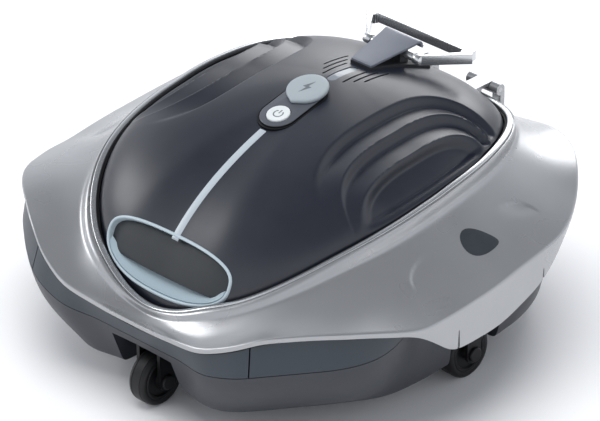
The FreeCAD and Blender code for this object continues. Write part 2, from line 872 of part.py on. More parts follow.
def make_volute():
    wall = volute_wall
    body = cylinder(volute_radius, 0.0, pump_y, volute_bottom, volute_top)
    half = outlet_width / 2.0
    outlet = box(-half, half, pump_y, outlet_end, volute_top - outlet_height - 2 * wall, volute_top)
    body = body.fuse(outlet)
    body = body.cut(cylinder(volute_radius - wall, 0.0, pump_y, volute_bottom + wall, volute_top - wall))
    body = body.cut(box(-half + wall, half - wall, pump_y, outlet_end + 1.0,
                        volute_top - outlet_height - wall, volute_top - wall))
    body = body.cut(cylinder(eye_radius - 2.0, 0.0, pump_y, volute_bottom - 1.0, volute_bottom + 2 * wall))
    return body.cut(cylinder(shaft_radius + 0.6, 0.0, pump_y, volute_bottom, volute_top + 1.0)).removeSplitter()


def make_impeller():
    low = volute_bottom + volute_wall + impeller_gap
    high = volute_top - volute_wall - impeller_gap
    disc = cylinder(impeller_radius, 0.0, pump_y, high - 2.0, high)
    hub = cylinder(shaft_radius + 3.0, 0.0, pump_y, low, high)
    wheel = disc.fuse(hub)
    for blade in range(impeller_blades):
        fin = box(shaft_radius + 1.0, impeller_radius - 0.6, -impeller_blade_wall / 2.0,
                  impeller_blade_wall / 2.0, low, high - 1.0)
        fin.rotate(Vector(shaft_radius + 1.0, 0, 0), Vector(0, 0, 1), 28.0)
        fin = fin.common(cylinder(impeller_radius, 0.0, 0.0, low, high))
        fin.rotate(Vector(0, 0, 0), Vector(0, 0, 1), 360.0 * blade / impeller_blades)
        fin.translate(Vector(0, pump_y, 0))
        wheel = wheel.fuse(fin)
    return wheel.cut(cylinder(shaft_radius, 0.0, pump_y, low - 1.0, high + 1.0)).removeSplitter()


def make_motor_shaft():
    return cylinder(shaft_radius, 0.0, pump_y, volute_bottom + volute_wall + impeller_gap, motor_top - 12.0)


def make_motor():
    body = cylinder(motor_radius, 0.0, pump_y, motor_bottom, motor_top)
    body = body.fuse(cylinder(7.0, 0.0, pump_y, motor_top, motor_top + 3.0))
    return body.cut(cylinder(shaft_radius + running_gap, 0.0, pump_y, motor_bottom - 1.0, motor_top - 11.5))


def make_shaft_seal():
    seal = cylinder(7.0, 0.0, pump_y, volute_top + 2 * seat_gap, motor_bottom - seat_gap)
    return seal.cut(cylinder(shaft_radius + running_gap, 0.0, pump_y, volute_top, motor_bottom))


def make_eye_grille():
    z1 = volute_bottom - seat_gap
    z0 = basket_top + basket_wall - 1.0
    disc = cylinder(eye_radius - 0.6, 0.0, pump_y, z0, z1)
    for bar in (-2, -1, 0, 1, 2):
        reach = math.sqrt((eye_radius - 2.2) ** 2 - (bar * 5.0) ** 2)
        disc = disc.cut(box(bar * 5.0 - 1.6, bar * 5.0 + 1.6, pump_y - reach + 1.0, pump_y + reach - 1.0, z0 - 1, z1 + 1))
    return disc


def make_outlet_duct():
    """Branch that splits the pump's outlet towards the two rear nozzles."""
    y0 = outlet_end + duct_gap
    y1 = y0 + duct_length
    z1 = volute_top
    z0 = volute_top - outlet_height - 2 * duct_wall
    wall = duct_wall
    duct = box(-duct_half_width, duct_half_width, y0, y1, z0, z1)
    duct = duct.cut(box(-duct_half_width + wall, duct_half_width - wall, y0 + wall, y1 - wall, z0 + wall, z1 - wall))
    half = outlet_width / 2.0 - wall
    duct = duct.cut(box(-half, half, y0 - 1.0, y0 + 2 * wall, z0 + wall, z1 - wall))
    for side in (-1, 1):
        x0, x1 = sorted((side * (duct_half_width - wall - 18.0), side * (duct_half_width - wall)))
        duct = duct.cut(box(x0, x1, y1 - 2 * wall, y1 + 1.0, z0 + wall, z1 - wall))
    return duct.removeSplitter()


# ---------------------------------------------------------------- rear jet nozzles

def jet_frame(shape, side):
    """Places a shape drawn along +Y at a rear corner of the hull."""
    shape = shape.copy()
    shape.rotate(Vector(0, 0, 0), Vector(0, 0, 1), -side * (180.0 - jet_angle))
    return shape


def jet_tube(grow):
    """Slot-shaped prism along the jet's direction, grown outwards from the port."""
    face = stadium(jet_port_width + 2 * grow, jet_port_height + 2 * grow)
    face.rotate(Vector(0, 0, 0), Vector(0, 0, 1), 90.0)
    face.rotate(Vector(0, 0, 0), Vector(1, 0, 0), 90.0)
    face.translate(Vector(0, jet_inner_radius, jet_z))
    return face.extrude(Vector(0, jet_reach, 0))


def make_jet_nozzle(side):
    """Tube from the duct to the hull's corner, ending in a slightly raised bezel."""
    tube = jet_frame(jet_tube(jet_wall).cut(jet_tube(0.0)), side)
    return tube.common(hull_bulk(jet_bezel, jet_z + jet_port_height))


def make_jet_grille(side):
    """Upright bars across the port, set back from its mouth."""
    ring = jet_tube(-seat_gap).cut(jet_tube(-jet_grille_bar))
    pitch = jet_port_width / (jet_grille_bars + 1.0)
    for bar in range(jet_grille_bars):
        x = -jet_port_width / 2.0 + pitch * (bar + 1)
        blade = box(x - jet_grille_bar / 2.0, x + jet_grille_bar / 2.0, jet_inner_radius, 2 * half_length,
                    jet_z - jet_port_height, jet_z + jet_port_height)
        ring = ring.fuse(blade.common(jet_tube(-1.0)))
    slab_y = jet_grille_radius
    ring = ring.common(box(-half_width, half_width, slab_y, slab_y + jet_grille_wall, 0.0, 2 * jet_z))
    return jet_frame(ring.removeSplitter(), side)


# ---------------------------------------------------------------- cover

def cover_edge(angle):
    """Plan radius and height of the cover's lower edge."""
    radius = rim_radius(angle) - trim_width - gasket_width - 2 * seat_gap - cover_gap
    return radius, smooth_value(rim_height, angle) - cover_edge_drop


def dome_base_point(angle, share):
    radius, height = cover_edge(angle)
    edge = in_plan(radius, angle, height)
    rise = (1.0 - (1.0 - share) ** dome_fullness) ** (1.0 / dome_fullness)
    rise *= 1.0 - dome_ease * math.sin(math.pi * share)
    x = edge.x * (1.0 - share)
    y = edge.y + (apex_y - edge.y) * share
    return Vector(x, y, height + (apex_height - height) * rise)


def dome_point(angle, share, lift):
    """Point on the cover's outer face, moved along the face's normal by lift."""
    step = 0.004
    here = dome_base_point(angle, share)
    if lift == 0.0:
        return here
    low, high = max(share - step, 0.0), min(share + step, 0.999)
    along = dome_base_point(angle, high) - dome_base_point(angle, low)
    around = dome_base_point(angle + 1.0, share) - dome_base_point(angle - 1.0, share)
    normal = around.cross(along)
    normal.normalize()
    return here + normal * lift


def dome_shares():
    return [apex_share * (k / (dome_rows - 1.0)) ** 1.7 for k in range(dome_rows)]


def dome_layer(low, high):
    """Curved shell between two distances from the cover's outer face."""
    step = 360.0 / ring_count
    angles = [step * place for place in range(ring_count)]
    skins = []
    for lift in (low, high):
        rows = []
        for share in dome_shares():
            rows.append([dome_point(angle, share, lift) for angle in angles])
        level = sum(point.z for point in rows[-1]) / ring_count
        rows[-1] = [Vector(point.x, point.y, level) for point in rows[-1]]
        skins.append(rows)
    faces = [ring_face(rows) for rows in skins]
    for face in list(faces):
        top = [edge for edge in face.Edges if edge.Closed and edge.BoundBox.DiagonalLength < 20.0]
        faces.append(Part.Face(Part.Wire([top[0]])))
    faces.append(ring_face([skins[0][0], skins[1][0]]))
    return close_faces(faces)


def dome_height(x, y):
    """Height of the cover's outer face over a point of the plan."""
    low, high = 0.0, 0.999
    if abs(x) < 1e-6 and abs(y - apex_y) < 1e-6:
        return apex_height
    angle = math.degrees(math.atan2(x, -(y - apex_y)))
    for turn in range(40):
        share = (low + high) / 2.0
        angle_now = angle
        for settle in range(12):
            radius, height = cover_edge(angle_now)
            edge = in_plan(radius, angle_now, height)
            wanted = math.atan2(x, -(y - apex_y))
            got = math.atan2(edge.x, -(edge.y - apex_y))
            angle_now += math.degrees(wanted - got)
        reach = math.hypot(edge.x, edge.y - apex_y) * (1.0 - share)
        if reach > math.hypot(x, y - apex_y):
            low = share
        else:
            high = share
    return dome_base_point(angle_now, share).z


def dome_slope(y):
    """Tilt in degrees of the cover's centre line at y, positive where it rises to the back."""
    return math.degrees(math.atan2(dome_height(0.0, y + 2.0) - dome_height(0.0, y - 2.0), 4.0))


def on_dome(shape, y, tilt):
    """Moves a shape drawn at the origin to the cover's centre line, leaning with the surface."""
    shape = shape.copy()
    shape.rotate(Vector(0, 0, 0), Vector(1, 0, 0), tilt)
    shape.translate(Vector(0, y, dome_height(0.0, y)))
    return shape


def slab(face, low, high):
    piece = face.copy()
    piece.translate(Vector(0, 0, low))
    return piece.extrude(Vector(0, 0, high - low))


def grip_frame(shape):
    """Places a shape drawn flat at the origin on the sloping front of the cover."""
    shape = shape.copy()
    shape.rotate(Vector(0, 0, 0), Vector(1, 0, 0), 90.0 - grip_tilt)
    shape.translate(Vector(0, grip_y, grip_z))
    return shape


def grip_oval(shrink):
    """Outline of the grip: nearly straight along the top, bowed along the bottom."""
    half_w = grip_width / 2.0 - shrink
    points = []
    for place in range(oval_count):
        turn = 2 * math.pi * place / oval_count
        x, y = math.cos(turn), math.sin(turn)
        power = grip_top_power if y > 0 else grip_bottom_power
        reach = (grip_top if y > 0 else grip_bottom) - shrink
        points.append(Vector(half_w * math.copysign(abs(x) ** (2.0 / power), x),
                             reach * math.copysign(abs(y) ** (2.0 / power), y), 0))
    curve = Part.BSplineCurve()
    curve.interpolate(Points=points, PeriodicFlag=True)
    return Part.Face(Part.Wire([curve.toShape()]))


def control_face(grow):
    return stadium(plate_length + 2 * grow, plate_width + 2 * grow)


def make_cover():
    cover = dome_layer(-cover_wall, 0.0)
    deep = cover_wall * 6
    cover = cover.cut(grip_frame(slab(grip_oval(-seat_gap), -grip_depth, deep)))
    cover = cover.cut(on_dome(slab(control_face(plate_gap), -deep, deep), plate_y, dome_slope(plate_y)))
    for tool in vent_slots(0.0):
        cover = cover.cut(tool)
    cover = cover.cut(upright_slot(window_length, window_width, 0.0, window_y, pod_top, 2 * apex_height))
    cover = cover.cut(strip_prism(seat_gap).common(dome_layer(-strip_depth, 4.0)))
    return cover


def vent_slots(shrink):
    slots = []
    for side in (-1, 1):
        for place in range(slots_each_side):
            x = side * (slot_first_x + slot_pitch * place)
            y = slot_first_y + slot_step_y * place + slot_length / 2.0
            slots.append(upright_slot(slot_length - 2 * shrink, slot_width - 2 * shrink, x, y, pod_top, 2 * apex_height))
    return slots


def strip_prism(grow):
    half = strip_width / 2.0 + grow
    return box(-half, half, strip_front_y - grow, strip_back_y + grow, pod_top - 80.0, 2 * apex_height)


def make_light_strip():
    strip = strip_prism(0.0).common(dome_layer(-strip_depth + seat_gap, 0.15))
    return strip.cut(grip_frame(slab(grip_oval(-seat_gap), -grip_depth, grip_depth)))


def make_vent_window():
    return upright_slot(window_length - 0.2, window_width - 0.2, 0.0, window_y, pod_top, 2 * apex_height).common(
        dome_layer(-cover_wall, -0.4))


def make_vent_screen():
    """Thin backing under the vent slots that keeps debris out."""
    half = slot_first_x + slot_pitch * slots_each_side + 2.0
    area = box(-half, half, slot_first_y - 4.0, slot_first_y + slot_step_y * 2 + slot_length + 4.0, pod_top, 300.0)
    return area.common(dome_layer(-cover_wall - 1.2, -cover_wall - seat_gap))


def make_control_plate():
    tilt = dome_slope(plate_y)
    plate = on_dome(slab(control_face(0.0), -cover_wall - plate_recess, plate_rise), plate_y, tilt)
    button_hole = Part.makeCylinder(button_radius + button_clearance, 60.0, Vector(0, button_y - plate_y, -30.0))
    flange_room = Part.makeCylinder(button_radius + button_flange + 0.5, 30.0,
                                    Vector(0, button_y - plate_y, -30.0 - 1.2))
    socket_hole = Part.makeCylinder(socket_radius + seat_gap, 60.0, Vector(0, socket_y - plate_y, -30.0))
    for tool in (button_hole, flange_room, socket_hole):
        plate = plate.cut(on_dome(tool, plate_y, tilt))
    for side in (-1, 1):
        plate = plate.fuse(on_dome(cap_arm(side), plate_y, tilt))
    return plate.removeSplitter()


def cap_arm(side):
    """Arm from the plate's back end that holds one end of the cap's pin."""
    y, z = cap_pin_place()
    x0, x1 = sorted((side * cap_arm_inner, side * (cap_arm_inner + cap_arm_width)))
    arm = box(x0, x1, y - cap_arm_length, y + cap_pin_inset, 0.6, plate_rise)
    arm = arm.fuse(box(x0, x1, y - cap_pin_inset, y + cap_pin_inset, 0.6, z + cap_pin_radius + 0.5))
    return arm.cut(cross_cylinder(cap_pin_radius + running_gap, x0 - 1.0, x1 + 1.0, y, z))


def cap_pin_place():
    """Pin position along the plate and above the cover, in the plate's own frame."""
    y = flap_cap_y - plate_y + flap_cap_length / 2.0 - cap_pin_inset
    return y, plate_rise + flap_cap_gap + flap_cap_wall / 2.0


def control_cap_face(grow):
    """Pick-shaped outline of the charging cap: broad at the back, narrow at the front."""
    half = flap_cap_width / 2.0 + grow
    back = flap_cap_length / 2.0 + grow
    front = -flap_cap_length / 2.0 - grow
    points = [Vector(0, front, 0), Vector(half * 0.34, front * 0.86, 0), Vector(half * 0.86, back * 0.1, 0),
              Vector(half * 0.98, back * 0.55, 0), Vector(half * 0.66, back * 0.93, 0), Vector(0, back, 0)]
    loop = points + [Vector(-point.x, point.y, 0) for point in reversed(points[1:-1])]
    curve = Part.BSplineCurve()
    curve.interpolate(Points=loop, PeriodicFlag=True)
    return Part.Face(Part.Wire([curve.toShape()]))


def cap_slab(grow, low, height):
    face = control_cap_face(grow)
    face.translate(Vector(0, flap_cap_y - plate_y, low))
    return face.extrude(Vector(0, 0, height))


def make_charge_cap():
    """Rubber cap with a plug underneath, turning on a pin at its back end."""
    low = plate_rise + flap_cap_gap
    cap = cap_slab(0.0, low, flap_cap_wall - cap_crown)
    cap = cap.fuse(cap_slab(-cap_crown, low, flap_cap_wall))
    cap = cap.fuse(Part.makeCylinder(socket_bore - 0.8, plug_length + flap_cap_gap,
                                     Vector(0, socket_y - plate_y, plate_rise - plug_length)))
    y, z = cap_pin_place()
    for side in (-1, 1):
        x0 = side * (cap_arm_inner - cap_notch_gap)
        x1 = side * (cap_arm_inner + cap_arm_width + cap_notch_gap)
        cap = cap.cut(box(min(x0, x1), max(x0, x1), y - cap_notch_length, y + 10.0, low - 1.0, low + 10.0))
    reach = cap_arm_inner + cap_arm_width + cap_notch_gap + 0.5
    cap = cap.fuse(cross_cylinder(cap_pin_radius, -reach, reach, y, z))
    return on_dome(cap.removeSplitter(), plate_y, dome_slope(plate_y))


def make_charge_socket():
    low = -cover_wall - plate_recess - 3.0
    socket = Part.makeCylinder(socket_radius, -low - 0.8, Vector(0, socket_y - plate_y, low))
    bore = Part.makeCylinder(socket_bore, 30.0, Vector(0, socket_y - plate_y, low + 2.0))
    pins = []
    for side in (-1, 1):
        pins.append(Part.makeCylinder(contact_radius, 2.2, Vector(side * 1.8, socket_y - plate_y, low + 2.0)))
    return on_dome(Part.makeCompound([socket.cut(bore)] + pins), plate_y, dome_slope(plate_y))


def make_power_button():
    top = plate_rise + button_rise
    low = -1.2 - 0.25
    offset = button_y - plate_y
    button = Part.makeCylinder(button_radius, top - low, Vector(0, offset, low))
    rim = [edge for edge in button.Edges if edge.Closed and edge.CenterOfMass.z > top - 0.01]
    button = button.makeFillet(0.6, rim)
    flange = Part.makeCylinder(button_radius + button_flange, 1.2, Vector(0, offset, low - 1.2))
    return on_dome(button.fuse(flange), plate_y, dome_slope(plate_y))


def make_grip_frame_piece():
    ring = slab(grip_oval(0.0), -grip_depth, grip_depth)
    ring = ring.cut(slab(grip_oval(frame_border), -2 * grip_depth, 2 * grip_depth))
    frame = grip_frame(ring).common(dome_layer(-recess_depth, frame_rise))
    for rise in (0.0, deck_clearance):
        frame = frame.cut(make_deck().translated(Vector(0, 0, rise)))
        frame = frame.cut(make_rim_gasket().translated(Vector(0, 0, rise)))
    return max(frame.Solids, key=lambda solid: solid.Volume)


def grip_part(shrink, low_y, high_y, low, high):
    """Piece of the grip between two heights on the slope and two depths under the cover's face."""
    block = slab(grip_oval(shrink), -grip_depth, grip_depth)
    strip = box(-grip_width, grip_width, low_y, high_y, -grip_depth, grip_depth)
    return grip_frame(block.common(strip)).common(dome_layer(low, high))


def paddle_edge():
    """Height on the slope where the paddle ends and the fixed panel starts."""
    return -grip_bottom + frame_border + paddle_height


def grip_slope():
    """Unit steps up the slope and out of the cover at the grip, in world Y and Z."""
    turn = math.radians(90.0 - grip_tilt)
    return (math.cos(turn), math.sin(turn)), (-math.sin(turn), math.cos(turn))


def grip_face_offset(along):
    """How far the cover's face stands out of the grip's flat datum at a height on the slope."""
    up, out = grip_slope()
    low, high = -10.0, 10.0
    for turn in range(30):
        middle = (low + high) / 2.0
        y = grip_y + up[0] * along + out[0] * middle
        z = grip_z + up[1] * along + out[1] * middle
        if y > cover_front() and z < dome_height(0.0, y):
            low = middle
        else:
            high = middle
    return middle


def cover_front():
    return -cover_edge(0.0)[0] + 0.5


def paddle_axis():
    """World Y and Z of the paddle's pin, behind the paddle's upper edge."""
    up, out = grip_slope()
    along = paddle_edge() - paddle_barrel_radius
    depth = paddle_depth + paddle_wall + paddle_pin_radius - grip_face_offset(along)
    return grip_y + up[0] * along - out[0] * depth, grip_z + up[1] * along - out[1] * depth


def make_grip_panel():
    """Fixed dark panel in the upper part of the recess, with two ears that hold the paddle's pin."""
    panel = grip_part(frame_border + seat_gap, paddle_edge() + paddle_top_gap, grip_width,
                      -panel_depth - panel_wall, -panel_depth)
    y, z = paddle_axis()
    up, out = grip_slope()
    start = paddle_barrel_half + paddle_ear_gap
    for side in (-1, 1):
        x0, x1 = sorted((side * start, side * (start + paddle_ear_wall)))
        reach = paddle_barrel_radius + paddle_top_gap + 8.0
        points = []
        for along, depth in ((-2.4, -1.6), (reach, -6.0), (reach, 3.0), (-2.4, 2.4), (-2.4, -1.6)):
            points.append(Vector(x0, y + up[0] * along - out[0] * depth, z + up[1] * along - out[1] * depth))
        ear = Part.Face(Part.makePolygon(points)).extrude(Vector(x1 - x0, 0, 0))
        ear = ear.cut(paddle_room())
        ear = ear.cut(dome_layer(-panel_depth, 30.0))
        panel = panel.fuse(ear.cut(cross_cylinder(paddle_pin_radius + running_gap, x0 - 1.0, x1 + 1.0, y, z)))
    return panel.removeSplitter()


def paddle_room():
    """Space that the paddle needs, kept clear of the ears."""
    return grip_part(frame_border, -grip_width, paddle_edge() + paddle_top_gap,
                     -paddle_depth - paddle_wall - paddle_gap, 0.0)


def make_release_paddle():
    """Curved finger paddle with a barrel and pin along the back of its upper edge."""
    paddle = grip_part(frame_border + paddle_gap, -grip_width, paddle_edge(),
                       -paddle_depth - paddle_wall, -paddle_depth)
    y, z = paddle_axis()
    barrel = cross_cylinder(paddle_barrel_radius, -paddle_barrel_half, paddle_barrel_half, y, z)
    barrel = barrel.cut(dome_layer(-paddle_depth - 0.5, 30.0))
    end = paddle_barrel_half + paddle_ear_gap + paddle_ear_wall
    return paddle.fuse(barrel).fuse(cross_cylinder(paddle_pin_radius, -end, end, y, z)).removeSplitter()


def make_latch_magnet():
    """Magnet held inside the cover's front edge."""
    top = smooth_value(rim_height, 0.0) + 4.0
    y = -rim_radius(0.0) + trim_width + gasket_width + cover_gap + cover_wall + 1.2
    half, low = magnet_width / 2.0, top - 7.0
    return box(-half, half, y, y + magnet_length, low, low + magnet_wall * 2)


def make_latch_keeper():
    """Steel plate on the deck under the magnet."""
    top = smooth_value(rim_height, 0.0) - deck_drop
    y = -rim_radius(0.0) + trim_width + gasket_width + cover_gap + cover_wall + 1.2
    keeper = box(-magnet_width / 2.0, magnet_width / 2.0, y, y + magnet_length, top, top + keeper_wall)
    return keeper.cut(make_deck())


# ---------------------------------------------------------------- power pod

def pod_block(shrink, z0, z1):
    half = pod_width / 2.0 - shrink
    return rounded_box(-half, half, pod_front + shrink, pod_back - shrink, z0, z1, pod_corner - shrink)


def make_pod_body():
    body = pod_block(0.0, pod_bottom, pod_split)
    well = cylinder(motor_well_radius, 0.0, pump_y, volute_top + seat_gap, pod_bottom + 1.0)
    body = body.fuse(well)
    body = body.cut(pod_block(pod_wall, pod_bottom + pod_wall, pod_split + 1.0))
    body = body.cut(cylinder(motor_radius + 0.4, 0.0, pump_y, motor_bottom, pod_bottom + 2 * pod_wall))
    return body.cut(cylinder(7.0 + seat_gap, 0.0, pump_y, volute_top, motor_bottom + 1.0)).removeSplitter()


def make_pod_gasket():
    low = pod_split + seat_gap
    ring = pod_block(0.4, low, low + pod_gasket_wall)
    return ring.cut(pod_block(pod_wall - 0.2, low - 1.0, low + 2 * pod_gasket_wall))


def pod_lid_bottom():
    return pod_split + pod_gasket_wall + 2 * seat_gap


def make_pod_lid():
    lid = pod_block(0.0, pod_lid_bottom(), pod_top)
    lid = lid.cut(pod_block(pod_wall, pod_lid_bottom() - 1.0, pod_top - pod_wall))
    for x, y in cover_post_places():
        lid = lid.fuse(cylinder(post_radius, x, y, pod_top - pod_wall, dome_height(x, y)))
    return lid.cut(dome_layer(-cover_wall, 2 * cover_wall)).removeSplitter()


def cover_post_places():
    return [(side * post_x, y) for side in (-1, 1) for y in (pod_front + 18.0, pod_back - 14.0)]


def make_battery_cells():
    cells = []
    for column in range(cell_columns):
        for row in range(cell_rows):
            y = cell_first_y + cell_pitch * column
            z = cell_low_z + cell_pitch * row
            cells.append(cross_cylinder(cell_radius, -cell_length / 2.0, cell_length / 2.0, y, z))
    return Part.makeCompound(cells)


def make_control_board():
    half = board_width / 2.0
    board = box(-half, half, board_y - board_length / 2.0, board_y + board_length / 2.0,
                board_z, board_z + board_wall)
    chips = ((-20.0, -8.0, 12.0, 9.0, 2.0), (6.0, -4.0, 16.0, 16.0, 1.6), (-14.0, 14.0, 8.0, 6.0, 3.0))
    for x, y, long, wide, tall in chips:
        low = board_z + board_wall
        board = board.fuse(box(x, x + long, board_y + y, board_y + y + wide, low, low + tall))
    return board.removeSplitter()


# ---------------------------------------------------------------- lifting ring and clip

def trapezoid(near, far, y0, y1):
    """Flat symmetric plan shape, near half width at y0 and far half width at y1."""
    points = [Vector(-near, y0, 0), Vector(near, y0, 0), Vector(far, y1, 0), Vector(-far, y1, 0)]
    return Part.Face(Part.makePolygon(points + points[:1]))


def make_lift_ring():
    """Trapezoid ring: flat bar on three sides and a round pivot bar along the short side."""
    def upright_edges(solid):
        upright = [edge for edge in solid.Edges if abs(edge.tangentAt(edge.FirstParameter).z) > 0.9]
        return [edge for edge in upright if edge.CenterOfMass.y > ring_axis_y + 1.0]

    low = ring_axis_z - ring_bar_height / 2.0
    outer_near = ring_near_half + ring_boss_length
    outer = trapezoid(outer_near, ring_far_half, ring_axis_y, ring_axis_y + ring_reach)
    solid = outer.extrude(Vector(0, 0, ring_bar_height))
    solid = solid.makeFillet(ring_corner, upright_edges(solid))
    inner = trapezoid(ring_near_half - 2.0, ring_far_half - ring_bar * 2.2, ring_axis_y - 8.0,
                      ring_axis_y + ring_reach - ring_bar)
    hole = inner.extrude(Vector(0, 0, ring_bar_height))
    frame = solid.cut(hole.makeFillet(ring_corner * 0.6, upright_edges(hole)))
    frame.translate(Vector(0, 0, low))
    inside = ring_near_half - 1.0
    frame = frame.cut(box(-inside, inside, ring_axis_y - 9.0, ring_axis_y + 9.0, low, low + 20.0))
    for side in (-1, 1):
        x0, x1 = sorted((side * ring_near_half, side * outer_near))
        frame = frame.fuse(cross_cylinder(ring_bar_height / 2.0, x0, x1, ring_axis_y, ring_axis_z))
    bar = cross_cylinder(ring_pivot_radius, -outer_near + 1.0, outer_near - 1.0, ring_axis_y, ring_axis_z)
    return frame.fuse(bar).removeSplitter()


def clip_plan(back_y, grow):
    """Tapered plan of the clip, from its foot to a line further back."""
    share = (back_y - clip_front_y) / (clip_lip_y - clip_front_y)
    back = clip_front_half + (clip_back_half - clip_front_half) * share
    face = trapezoid(clip_front_half + grow, back + grow, clip_front_y - grow, back_y + grow)
    face.translate(Vector(0, 0, pod_top))
    return face.extrude(Vector(0, 0, 100.0))


def make_lift_clip():
    """Bent sheet: a foot on the base plate, a slope up to a rounded ridge and a lip turned down."""
    foot_z = dome_height(0.0, clip_front_y) + clip_base_rise
    outer = [(clip_front_y, foot_z + clip_sheet * 0.8), (clip_ridge_y, clip_ridge_z), (clip_lip_y, clip_lip_z)]
    inner = [(clip_lip_y - clip_sheet, clip_lip_z), (clip_ridge_y - 0.9, clip_ridge_z - clip_sheet * 1.05),
             (clip_front_y, foot_z - clip_sheet)]
    points = [Vector(-clip_back_half - 5.0, y, z) for y, z in outer + inner]
    profile = Part.Face(Part.makePolygon(points + points[:1]))
    sheet = profile.extrude(Vector(2 * clip_back_half + 10.0, 0, 0))
    ridge = [edge for edge in sheet.Edges if abs(edge.tangentAt(edge.FirstParameter).x) > 0.9
             and abs(edge.CenterOfMass.z - clip_ridge_z) < 0.01]
    sheet = sheet.makeFillet(3.4, ridge)
    return sheet.common(clip_plan(clip_lip_y, 0.0)).cut(dome_layer(-cover_wall, clip_base_rise))


def make_clip_base():
    """Tapered plate on the cover with a bearing block that the ring's pivot bar turns in."""
    plate = clip_plan(clip_base_back_y, 0.4).common(dome_layer(seat_gap, clip_base_rise - seat_gap))
    block = box(-bearing_half, bearing_half, ring_axis_y - bearing_radius, ring_axis_y + bearing_radius,
                pod_top, ring_axis_z)
    block = block.fuse(cross_cylinder(bearing_radius, -bearing_half, bearing_half, ring_axis_y, ring_axis_z))
    block = block.cut(dome_layer(-3 * cover_wall, seat_gap))
    low = ring_axis_z - 14.0
    block = block.common(box(-half_width, half_width, -half_length, half_length, low, 2 * apex_height))
    plate = plate.fuse(block)
    bore = cross_cylinder(ring_pivot_radius + running_gap, -bearing_half - 1.0, bearing_half + 1.0,
                          ring_axis_y, ring_axis_z)
    return plate.cut(bore).removeSplitter()


# ---------------------------------------------------------------- cover hinge

def knuckle(x0, x1):
    ring = cross_cylinder(hinge_radius, x0, x1, hinge_y, hinge_z)
    return ring.cut(cross_cylinder(hinge_pin_radius + running_gap, x0 - 1.0, x1 + 1.0, hinge_y, hinge_z))


def hinge_spans():
    """X spans of the outer knuckles (shell) and the middle knuckle (cover) on the +X side."""
    middle = (knuckle_offset - knuckle_length / 2.0, knuckle_offset + knuckle_length / 2.0)
    inner = (middle[0] - knuckle_gap - knuckle_length * 0.6, middle[0] - knuckle_gap)
    outer = (middle[1] + knuckle_gap, middle[1] + knuckle_gap + knuckle_length * 0.6)
    return middle, inner, outer


def make_hinge_bracket(shell):
    """Shell half of the hinge: knuckles on short pillars standing on the shell's back edge."""
    pieces = []
    for x0, x1 in hinge_spans()[1:]:
        pillar = box(x0, x1, hinge_y, hinge_y + hinge_radius, hinge_z - hinge_foot_depth, hinge_z)
        lug = pillar.fuse(cross_cylinder(hinge_radius, x0, x1, hinge_y, hinge_z))
        lug = lug.cut(cross_cylinder(hinge_pin_radius, x0 - 1.0, x1 + 1.0, hinge_y, hinge_z)).cut(shell)
        pieces.append(max(lug.Solids, key=lambda solid: solid.Volume))
    return both_sides(Part.makeCompound(pieces))


def make_hinge_leaf():
    """Cover half of the hinge: middle knuckles with arms onto the cover's back edge."""
    x0, x1 = hinge_spans()[0]
    top = hinge_z + hinge_radius
    arm = box(x0, x1, hinge_y - hinge_arm_reach, hinge_y, top - leaf_wall, top)
    front = hinge_y - hinge_arm_reach
    foot = box(x0, x1, front, front + 2 * leaf_wall, hinge_z - leaf_foot_drop, top)
    arm = arm.fuse(foot).cut(cross_cylinder(hinge_radius - 0.5, x0 - 1.0, x1 + 1.0, hinge_y, hinge_z))
    leaf = knuckle(x0, x1).fuse(arm).cut(dome_layer(-cover_wall, 0.0))
    return both_sides(max(leaf.Solids, key=lambda solid: solid.Volume).removeSplitter())


def make_hinge_pins():
    inner, outer = hinge_spans()[1:]
    return both_sides(cross_cylinder(hinge_pin_radius, inner[0], outer[1], hinge_y, hinge_z))


# ---------------------------------------------------------------- all pieces

